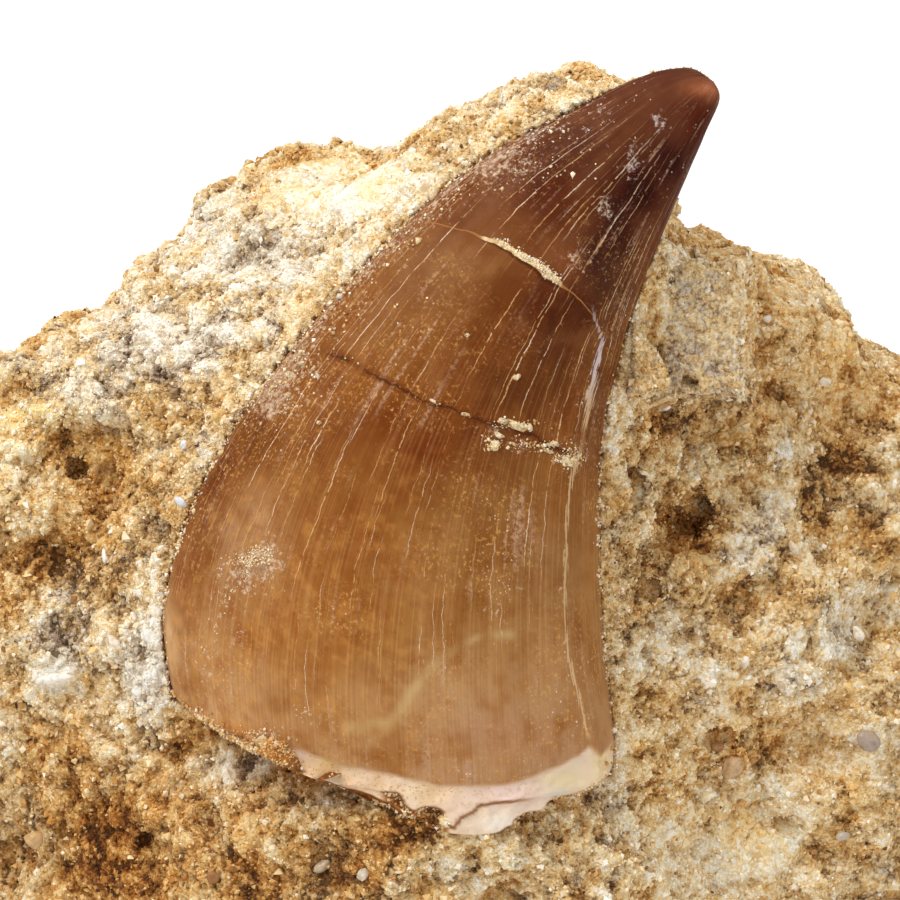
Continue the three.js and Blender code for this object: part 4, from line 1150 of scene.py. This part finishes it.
# The tone falls towards the edge of each grain's cell: painted shade between the grains.
tone = noted("paleness") + fine * 1.35 + (own_tone - 0.5) * 0.26 - cell * 0.16 + 0.07
warm = noted("warmth") + (own_warmth - 0.5) * 0.35 + fine * 0.5
colour = laid_over(sand_colour(tone, warm), YELLOW_CEMENT, noted("yellow"), "MULTIPLY")
rock = {"Base Color": colour, "Roughness": 0.92, "Specular IOR Level": 0.2}
surface(shade, rock, fine, STONE_BUMP, STONE_BUMP_DEPTH)
stone_material = material
for piece, places, notes in zones.values():
    piece.data.materials.append(stone_material)
    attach(piece, "root")
    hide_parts("matrix_block")

# ---------------------------------------------------------------- sand grains
# The quartz and phosphate grains that stand out of the soft cement, half bedded in it, thickest
# on the worked face.


def turned_at_random(count, dice):
    """Rotation matrices from unit quaternions picked evenly at random."""
    q = dice.normal(size=(count, 4))
    q /= np.linalg.norm(q, axis=1, keepdims=True)
    w, x, y, z = q.T
    return np.stack([
        1 - 2 * (y * y + z * z), 2 * (x * y - z * w), 2 * (x * z + y * w),
        2 * (x * y + z * w), 1 - 2 * (x * x + z * z), 2 * (y * z - x * w),
        2 * (x * z - y * w), 2 * (y * z + x * w), 1 - 2 * (x * x + y * y),
    ], -1).reshape(-1, 3, 3)


OCTAHEDRON = np.array([(1, 0, 0), (-1, 0, 0), (0, 1, 0), (0, -1, 0), (0, 0, 1), (0, 0, -1)], float)
OCTAHEDRON_FACES = np.array([
    (0, 2, 4), (2, 1, 4), (1, 3, 4), (3, 0, 4), (2, 0, 5), (1, 2, 5), (3, 1, 5), (0, 3, 5),
])
CORNER_ROUGHNESS, LOWEST_POINT, SPECK_ON_MAP = 0.28, 0.02, 0.0015


def many(name, middles, sizes, turns, tones, warms, dice):
    """One mesh of many small stones: an octahedron stretched, turned and roughened for each. The
    map of each stone is a speck at its tone across and its warmth up."""
    count, corners = len(middles), len(OCTAHEDRON)
    rough = 1 + CORNER_ROUGHNESS * dice.uniform(-1, 1, (count, corners, 1))
    local = OCTAHEDRON[None] * rough * sizes[:, None, :]
    points = middles[:, None, :] + np.einsum("nij,nkj->nki", turns, local)
    points[..., 2] = np.maximum(points[..., 2], LOWEST_POINT)
    faces = (OCTAHEDRON_FACES[None] + corners * np.arange(count)[:, None, None]).reshape(-1, 3)
    mesh = bpy.data.meshes.new(name)
    mesh.from_pydata((points / MM_IN_A_METRE).reshape(-1, 3), [], faces)
    at = np.stack([np.clip(tones, 0.01, 0.99), np.clip(warms, 0.01, 0.99)], -1)[:, None, :]
    corner_map = (at + SPECK_ON_MAP * OCTAHEDRON[:, :2]).reshape(-1, 2)[faces.ravel()]
    layer = mesh.uv_layers.new(name="OFBake")
    layer.uv.foreach_set("vector", corner_map.astype(np.float32).ravel())
    mesh.validate()
    return placed(name, mesh)


def scattered(places, weight, count, dice):
    """Places spread over a grid that closes round its second axis, in proportion to weight times
    area, and the row and column of each."""
    step_round = np.roll(places, -1, axis=1) - places
    area = np.linalg.norm(np.cross(places[1:] - places[:-1], step_round[:-1]), axis=-1)
    chance = (weight[:-1] * area).ravel()
    picked = dice.choice(chance.size, count, p=chance / chance.sum())
    i, j = np.divmod(picked, places.shape[1])
    k = (j + 1) % places.shape[1]
    x, y = dice.random((2, count, 1))
    spot = places[i, j] * (1 - x) * (1 - y) + places[i + 1, j] * x * (1 - y)
    return spot + places[i + 1, k] * x * y + places[i, k] * (1 - x) * y, i, j


def strewn(name, places, weight, tone, warm, count, radius, spreads, uneven, heights, seed):
    """Many small stones strewn over a grid of places. Each radius is multiplied by e to a normal
    number times uneven, and each of its three sizes by up to 0.35 more or less. Its middle stands
    out by a share of its size between the two heights, and its tone and warmth, given on the
    grid, each vary by a normal number times its spread."""
    dice = np.random.default_rng(seed)
    spot, i, j = scattered(places, weight, count, dice)
    size = radius * np.exp(uneven * dice.normal(size=(count, 1)))
    size = size * (1 + 0.35 * dice.uniform(-1, 1, (count, 3)))
    out = facing_of(places)[i, j] * size.mean(1, keepdims=True)
    middle = spot + out * dice.uniform(*heights, (count, 1))
    tones = tone[i, j] + spreads[0] * dice.normal(size=count)
    warms = warm[i, j] + spreads[1] * dice.normal(size=count)
    return many(name, middle, size, turned_at_random(count, dice), tones, warms, dice)


material, shade = new_material("loose_sand")
way = shade.node("UVMap", {"uv_map": "OFBake"})
tone = way.node("SeparateXYZ", {}, {0: way}, 0)
warm = way.node("SeparateXYZ", {}, {0: way}, 1)
surface(shade, {"Base Color": sand_colour(tone, warm), "Roughness": 0.75, "Specular IOR Level": 0.3})
sand_material = material

# The zone they lie on, how many, their radius in mm and their seed.
GRAINS = {
    "grains_fine_inner": ("block_inner_face", 18000, 0.058, 51),
    "grains_fine_outer": ("block_outer_face", 24500, 0.066, 52),
    "grains_coarse_inner": ("block_inner_face", 2200, 0.105, 53),
    "grains_coarse_outer": ("block_outer_face", 5000, 0.12, 54),
    "grains_on_the_sides": ("block_sides", 17000, 0.09, 56),
    "grains_behind": ("block_back_and_underside", 13000, 0.11, 55),
}
for name, (zone, count, radius, seed) in GRAINS.items():
    piece, places, notes = zones[zone]
    bare = ((notes["apart"] > 0.02) | (notes["front"] < 0.2)) & (places[..., 2] > 0.25)
    near_view = np.where((notes["front"] > 0.2) & (np.abs(places[..., 0]) < 22), 1.0, 0.3)
    weight = bare * near_view * (1 - 0.85 * notes["smooth"])
    # Each grain takes the paleness of the skin below it, with its painted light and shade.
    grains = strewn(name, places, weight, notes["paleness"] + 0.06, notes["warmth"],
                    count, radius, (0.2, 0.14), 0.3, (-0.5, 0.35), seed)
    grains.data.materials.append(sand_material)
    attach(grains, "root")

# ---------------------------------------------------------------- crumbs on the tooth
# Sand and limy crust left on the enamel by the preparator: packed in the upper crack, caught on
# the lower one, stuck in patches, along the bedded edge and under the rim.

# How many, their radius in mm, tone, warmth, the spread of both, and their seed.
CRUMB_PATCHES = {
    "crumbs_in_the_high_crack": (420, 0.032, 0.80, 0.34, 0.10, 71),
    "crumbs_on_the_low_crack": (300, 0.045, 0.62, 0.50, 0.22, 72),
    "crumbs_of_crust": (700, 0.036, 0.66, 0.42, 0.16, 73),
    "crumbs_by_the_bedded_edge": (3600, 0.062, 0.68, 0.42, 0.22, 74),
    "crumbs_under_the_rim": (1500, 0.062, 0.62, 0.48, 0.18, 75),
    "crumbs_on_the_left_rim": (1900, 0.05, 0.54, 0.66, 0.18, 77),
}
ragged = 0.5 + 0.5 * rough_noise(skin, 0.8, 76, 3)
clustered = eased((ragged - 0.35) / 0.5)
edge_turn = np.abs(turn - math.pi)
filled_crack = close_to(high_crack, high_width * 0.8) * eased((high_width - 0.07) / 0.08)
LOW_CRACK_SPOTS = [
    (2.9, 1.1, 0.7, 0.14, 1.0), (1.9, 0.2, 0.4, 0.25, 0.8), (5.3, -0.4, 0.5, 0.2, 1.0),
    (3.8, 0.1, 0.9, 0.15, 0.7),
]


off_the_end = station > 0.02
along_low_crack = 0.03 * close_to(low_crack, 0.12) * (a > -6) * (a < 5.9)
left_edge = (close_to(edge_turn, 0.13) + 0.10 * bedded_edge) * np.clip((station - 1.2) / 1.5, 0, 1)
right_edge = 0.5 * close_to(np.minimum(turn, 2 * math.pi - turn), 0.12) * (station < 6)
at_both_ends = 0.3 + 2.0 * eased((-7.0 - a) / 1.5) + 1.0 * eased((a - 4.5) / 1.5)
below_the_foot = 1.2 * eased(-root_foot / 0.2) * off_the_end
on_crust = np.maximum(0, crusted - 0.30) ** 2 * clustered * (station > 1) * (b < 4.5)
under_rim = close_to(root_foot + 0.05, 0.18) * at_both_ends + below_the_foot + 1.6 * cavity
left_rim = close_to(enamel_edge + 0.2, 0.4) * eased((-6.2 - a) / 1.2) * (0.3 + clustered) * front_share
left_foot = 1.6 * eased(0.1 - root_foot / 0.1) * eased((-6.3 - a) / 0.6) * off_the_end * front_share
crumb_weights = {
    "crumbs_in_the_high_crack": filled_crack * front_share,
    "crumbs_on_the_low_crack": (patches(a, b, LOW_CRACK_SPOTS) + along_low_crack) * front_share,
    "crumbs_of_crust": on_crust * front_share,
    "crumbs_by_the_bedded_edge": (left_edge + right_edge) * (0.1 + clustered ** 2),
    "crumbs_under_the_rim": under_rim * clustered * front_share,
    "crumbs_on_the_left_rim": left_rim + left_foot,
}
for name, (count, radius, tone, warm, spread, seed) in CRUMB_PATCHES.items():
    tones, warms = np.full(station.shape, tone), np.full(station.shape, warm)
    crumbs = strewn(name, in_the_part(skin), crumb_weights[name], tones, warms,
                    count, radius, (spread, spread), 0.35, (-0.3, 0.6), seed)
    crumbs.data.shade_smooth()
    crumbs.data.materials.append(sand_material)
    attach(crumbs, "root")

# ---------------------------------------------------------------- limy chunks
# The larger lumps of pale limy rock still stuck to the enamel, along the low crack and on the
# upper left of the crown. Each is a lumpy pebble sunk halfway into the skin.

# Middle, three half sizes and degrees of lean of each.
LIMY_CHUNKS = [
    (2.89, 1.16, 0.62, 0.17, 0.16, -22), (2.4, 1.3, 0.3, 0.14, 0.14, -10),
    (1.87, 0.18, 0.34, 0.22, 0.2, 20), (2.13, 0.67, 0.22, 0.13, 0.12, -15),
    (5.16, -0.36, 0.42, 0.16, 0.15, -35), (5.47, -0.58, 0.25, 0.16, 0.14, 40),
    (4.53, 0.31, 0.3, 0.12, 0.12, -10), (3.47, 0.98, 0.18, 0.16, 0.15, 0), (4.36, 0.0, 0.3, 0.08, 0.1, -20),
    (-6.98, 4.58, 0.2, 0.17, 0.16, 10), (-6.49, 4.44, 0.2, 0.16, 0.16, -30),
    (-6.53, 3.91, 0.22, 0.13, 0.14, 15), (-6.09, 3.51, 0.17, 0.14, 0.13, 50),
    (-7.11, 3.29, 0.22, 0.2, 0.18, 0), (-5.87, 3.29, 0.1, 0.16, 0.1, 20), (-7.2, 2.4, 0.2, 0.18, 0.16, 70),
    (-5.78, 1.11, 0.12, 0.11, 0.1, 0), (0.76, 5.2, 0.11, 0.1, 0.09, 0), (2.93, 3.2, 0.16, 0.12, 0.1, 30),
    (0.71, 1.51, 0.2, 0.1, 0.1, -15), (-0.8, 2.22, 0.22, 0.07, 0.07, -25),
    (-8.22, -12.93, 0.42, 0.25, 0.16, -20), (-7.9, 2.75, 0.18, 0.16, 0.15, 40),
    (-5.2, 6.3, 0.14, 0.1, 0.1, 50),
]
CHUNK_ROWS, CHUNK_COLUMNS, CHUNK_LUMPINESS, CHUNK_SEED = 13, 20, 0.45, 200
CHUNK_PALENESS, CHUNK_WARMTH = 0.62, 0.36
PEBBLE_FACES, PEBBLE_CRISPNESS = 11, 9


def pebble(name, middle, wide, high, thick, lean, seed, lumpy, rows, columns):
    """A ball stretched to three half sizes and turned by lean degrees, at a place on the face. Its
    radius is cut back by flat faces at random, softly, and roughened by the share lumpy."""
    dice = np.random.default_rng(seed)
    tilt = (np.pi * (np.arange(rows) + 1) / (rows + 1))[:, None]
    way_round = (2 * np.pi * np.arange(columns) / columns)[None, :]
    tilt, way_round = np.broadcast_arrays(tilt, way_round)
    ball = np.stack([np.sin(tilt) * np.cos(way_round), np.sin(tilt) * np.sin(way_round), np.cos(tilt)], -1)
    faces = dice.normal(size=(PEBBLE_FACES, 3))
    faces /= np.linalg.norm(faces, axis=1, keepdims=True)
    reach = ball @ faces.T / dice.uniform(0.72, 1.0, PEBBLE_FACES)
    cut = np.maximum(0, reach) ** PEBBLE_CRISPNESS
    ball = ball * (1 + cut.sum(-1, keepdims=True)) ** (-1 / PEBBLE_CRISPNESS)
    ball = ball * (1 + lumpy * rough_noise(ball + seed, 0.8, seed, 3)[..., None])
    ball = ball * np.array([wide, high, thick])
    c, s = math.cos(math.radians(lean)), math.sin(math.radians(lean))
    shape = ball @ np.array([[c, s, 0], [-s, c, 0], [0, 0, 1]]) + middle
    first, last = in_the_part(shape[0].mean(0)), in_the_part(shape[-1].mean(0))
    return wrapped_mesh(name, first, in_the_part(shape), last)


for number, (a0, b0, *sizes_and_lean) in enumerate(LIMY_CHUNKS):
    nearest = np.argmin((a - a0) ** 2 + (b - b0) ** 2 + 99 * (front_share < 0.5))
    chunk = pebble(f"limy_chunk_{number + 1}", skin.reshape(-1, 3)[nearest], *sizes_and_lean,
                   CHUNK_SEED + number, CHUNK_LUMPINESS, CHUNK_ROWS, CHUNK_COLUMNS)
    points = len(chunk.data.vertices)
    note(chunk, "paleness", np.full(points, CHUNK_PALENESS))
    note(chunk, "warmth", np.full(points, CHUNK_WARMTH))
    chunk.data.materials.append(stone_material)
    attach(chunk, "root")

# ---------------------------------------------------------------- clasts
# The larger bits bedded in the sand: chalky flakes of bone and shell, worn brown phosphate
# pebbles, and clear or grey quartz.

# Middle on the face, three half sizes, degrees of lean, colour and roughness of each.
CLASTS = {
    "white_shard": (-17.7, -10.2, 0.95, 0.26, 0.25, 8, (246, 240, 228), 0.7),
    "white_flake_by_the_edge": (-13.9, -10.7, 0.36, 0.22, 0.2, 40, (250, 244, 232), 0.7),
    "white_flake_above_it": (-11.8, 0.2, 0.26, 0.20, 0.2, 70, (238, 236, 236), 0.5),
    "white_flake_on_the_left": (-11.9, -2.3, 0.34, 0.18, 0.2, -35, (226, 226, 232), 0.4),
    "white_splinter": (-15.4, -4.8, 0.42, 0.14, 0.2, 100, (240, 236, 226), 0.6),
    "pale_splinter": (-14.9, -8.6, 0.6, 0.2, 0.2, -40, (240, 226, 204), 0.7),
    "round_tan_pebble": (-18.7, -17.5, 0.5, 0.46, 0.4, 0, (206, 166, 112), 0.5),
    "brown_pebble": (1.65, 15.1, 0.34, 0.3, 0.3, 0, (166, 118, 70), 0.7),
    "grains_by_the_brown_pebble": (1.1, 14.7, 0.22, 0.2, 0.2, 0, (150, 104, 60), 0.7),
    "clear_tan_pebble": (12.7, -14.2, 0.66, 0.5, 0.4, 50, (196, 160, 116), 0.25),
    "clear_tan_pebble_beside_it": (12.1, -13.4, 0.42, 0.3, 0.3, -20, (176, 130, 86), 0.3),
    "grey_pebble": (18.9, -13.1, 0.66, 0.5, 0.4, -15, (168, 148, 130), 0.35),
    "white_bit_on_the_block": (14.3, 5.9, 0.24, 0.2, 0.2, 20, (250, 244, 238), 0.5),
    "white_bit_by_the_tooth": (9.5, 1.9, 0.4, 0.22, 0.2, 15, (240, 228, 218), 0.5),
    "pink_bit": (8.0, 2.6, 0.34, 0.2, 0.2, 60, (222, 200, 186), 0.6),
    "pale_flake_on_the_right": (15.5, -4.4, 0.44, 0.2, 0.2, -55, (236, 216, 184), 0.6),
    "pale_flake_below_it": (13.2, -9.5, 0.3, 0.22, 0.2, 80, (244, 232, 214), 0.6),
    "pale_flake_far_right": (18.4, -8.3, 0.4, 0.24, 0.2, -60, (242, 228, 204), 0.6),
    "flake_low_right": (9.8, -17.2, 0.4, 0.26, 0.2, 30, (244, 232, 210), 0.6),
    "grey_bit_low_right": (17.7, -17.4, 0.36, 0.26, 0.25, 10, (186, 170, 152), 0.4),
    "pale_bit_at_the_foot": (-3.8, -18.6, 0.4, 0.28, 0.25, 60, (226, 210, 184), 0.5),
    "clear_bit_at_the_foot": (-5.6, -18.3, 0.5, 0.26, 0.25, 40, (206, 182, 148), 0.3),
    "brown_bit_at_the_foot": (-10.4, -18.9, 0.36, 0.3, 0.25, -30, (150, 100, 52), 0.5),
    "yellow_bit_left": (-10.2, 1.5, 0.34, 0.28, 0.25, 30, (222, 180, 108), 0.5),
    "yellow_bit_by_the_pit": (11.4, -4.9, 0.44, 0.22, 0.2, -25, (226, 194, 132), 0.5),
    "bit_right_of_the_block": (17.0, 3.1, 0.3, 0.22, 0.2, 10, (238, 222, 196), 0.6),
}
CLAST_ROWS, CLAST_COLUMNS, CLAST_LUMPINESS, CLAST_SEED, CLAST_PROUD = 15, 24, 0.12, 81, 0.25
CLAST_STAIN, CLAST_SHEEN, CLAST_BUMP, CLAST_BUMP_DEPTH = (190, 140, 80), 0.45, 0.5, 0.00005


def top_of_block(u, v):
    """Height of the worked face at a place on it: that of the nearest points of its zones."""
    heights = []
    for name in ("block_inner_face", "block_outer_face"):
        face_points = flat_zones[name]
        off = (face_points[:, 0] - u) ** 2 + (face_points[:, 1] - v) ** 2
        nearest = np.argsort(off)[:12]
        heights.append((off[nearest[0]], face_points[nearest, 2].mean()))
    return min(heights)[1]


flat_zones = {}
for name in ("block_inner_face", "block_outer_face"):
    piece, places, notes = zones[name]
    local = (places - FACE_ORIGIN) @ np.stack([ACROSS, UP_FACE, OUT_OF_FACE]).T
    flat_zones[name] = local[notes["front"] > 0.1]
for number, (name, (u, v, wide, high, thick, lean, hue, rough)) in enumerate(CLASTS.items()):
    middle = np.array([u, v, top_of_block(u, v) + CLAST_PROUD * thick])
    clast = pebble(name, middle, wide, high, thick, lean,
                   CLAST_SEED + number, CLAST_LUMPINESS, CLAST_ROWS, CLAST_COLUMNS)
    material, shade = new_material(name)
    place = shade.node("TexCoord", output=OBJECT_PLACE)
    vein = cloud(0.0003, 3.0, 0.6)
    veined = tuple(0.55 * channel for channel in paint(*hue))
    colour = laid_over(paint(*hue), veined, vein.between(0.45, 0.7) * 0.7)
    stain = cloud(0.0006, 2.0, 0.6).between(0.55, 0.7) * 0.35
    colour = laid_over(colour, paint(*CLAST_STAIN), stain)
    finish = {"Base Color": colour, "Roughness": rough, "Specular IOR Level": CLAST_SHEEN}
    surface(shade, finish, vein, CLAST_BUMP, CLAST_BUMP_DEPTH)
    clast.data.materials.append(material)
    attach(clast, "root")

# ---------------------------------------------------------------- floor and light
# A white studio sweep, a wide soft box high on the left, and white all round.

FLOOR_REACH, PAPER = 3, (0.97, 0.97, 0.97, 1)
floor_corners = [(x * FLOOR_REACH, y * FLOOR_REACH, 0) for x, y in ((-1, -1), (1, -1), (1, 1), (-1, 1))]
floor_mesh = bpy.data.meshes.new("floor")
floor_mesh.from_pydata(floor_corners, [], [(0, 1, 2, 3)])
floor = placed("floor", floor_mesh)
material, shade = new_material("white_paper")
surface(shade, {"Base Color": PAPER, "Roughness": 0.9})
floor.data.materials.append(material)

# Where each lamp stands and aims, in metres, its width and its power in watts.
for name, stands, aims, size, power in (
    ("soft_box", (-0.24, -0.02, 0.42), (0, 0, 0.02), 0.24, 1.6),
    ("fill", (0.26, -0.34, 0.30), (0, 0, 0.02), 0.3, 0.6),
    ("sweep_light", (0.0, 0.30, 0.45), (0, 0.12, 0), 0.4, 1.2),
):
    light = bpy.data.lights.new(name, "AREA")
    light.size = size
    light.energy = power
    lamp = placed(name, light)
    lamp.location = stands
    lamp.rotation_euler = (Vector(aims) - lamp.location).to_track_quat("-Z", "Y").to_euler()
# The room is pure white to the camera, and lights the stone at this share of that.
ROOM_LIGHT = 0.38
world = bpy.data.worlds.new("white_room")
world.use_nodes = True
room = Shade(world.node_tree)
background = world.node_tree.nodes["Background"]
background.inputs["Color"].default_value = (1, 1, 1, 1)
seen = room.node("LightPath")
world.node_tree.links.new((seen * (1 - ROOM_LIGHT) + ROOM_LIGHT).socket, background.inputs["Strength"])
bpy.context.scene.world = world
bpy.context.scene.view_settings.view_transform = "Standard"
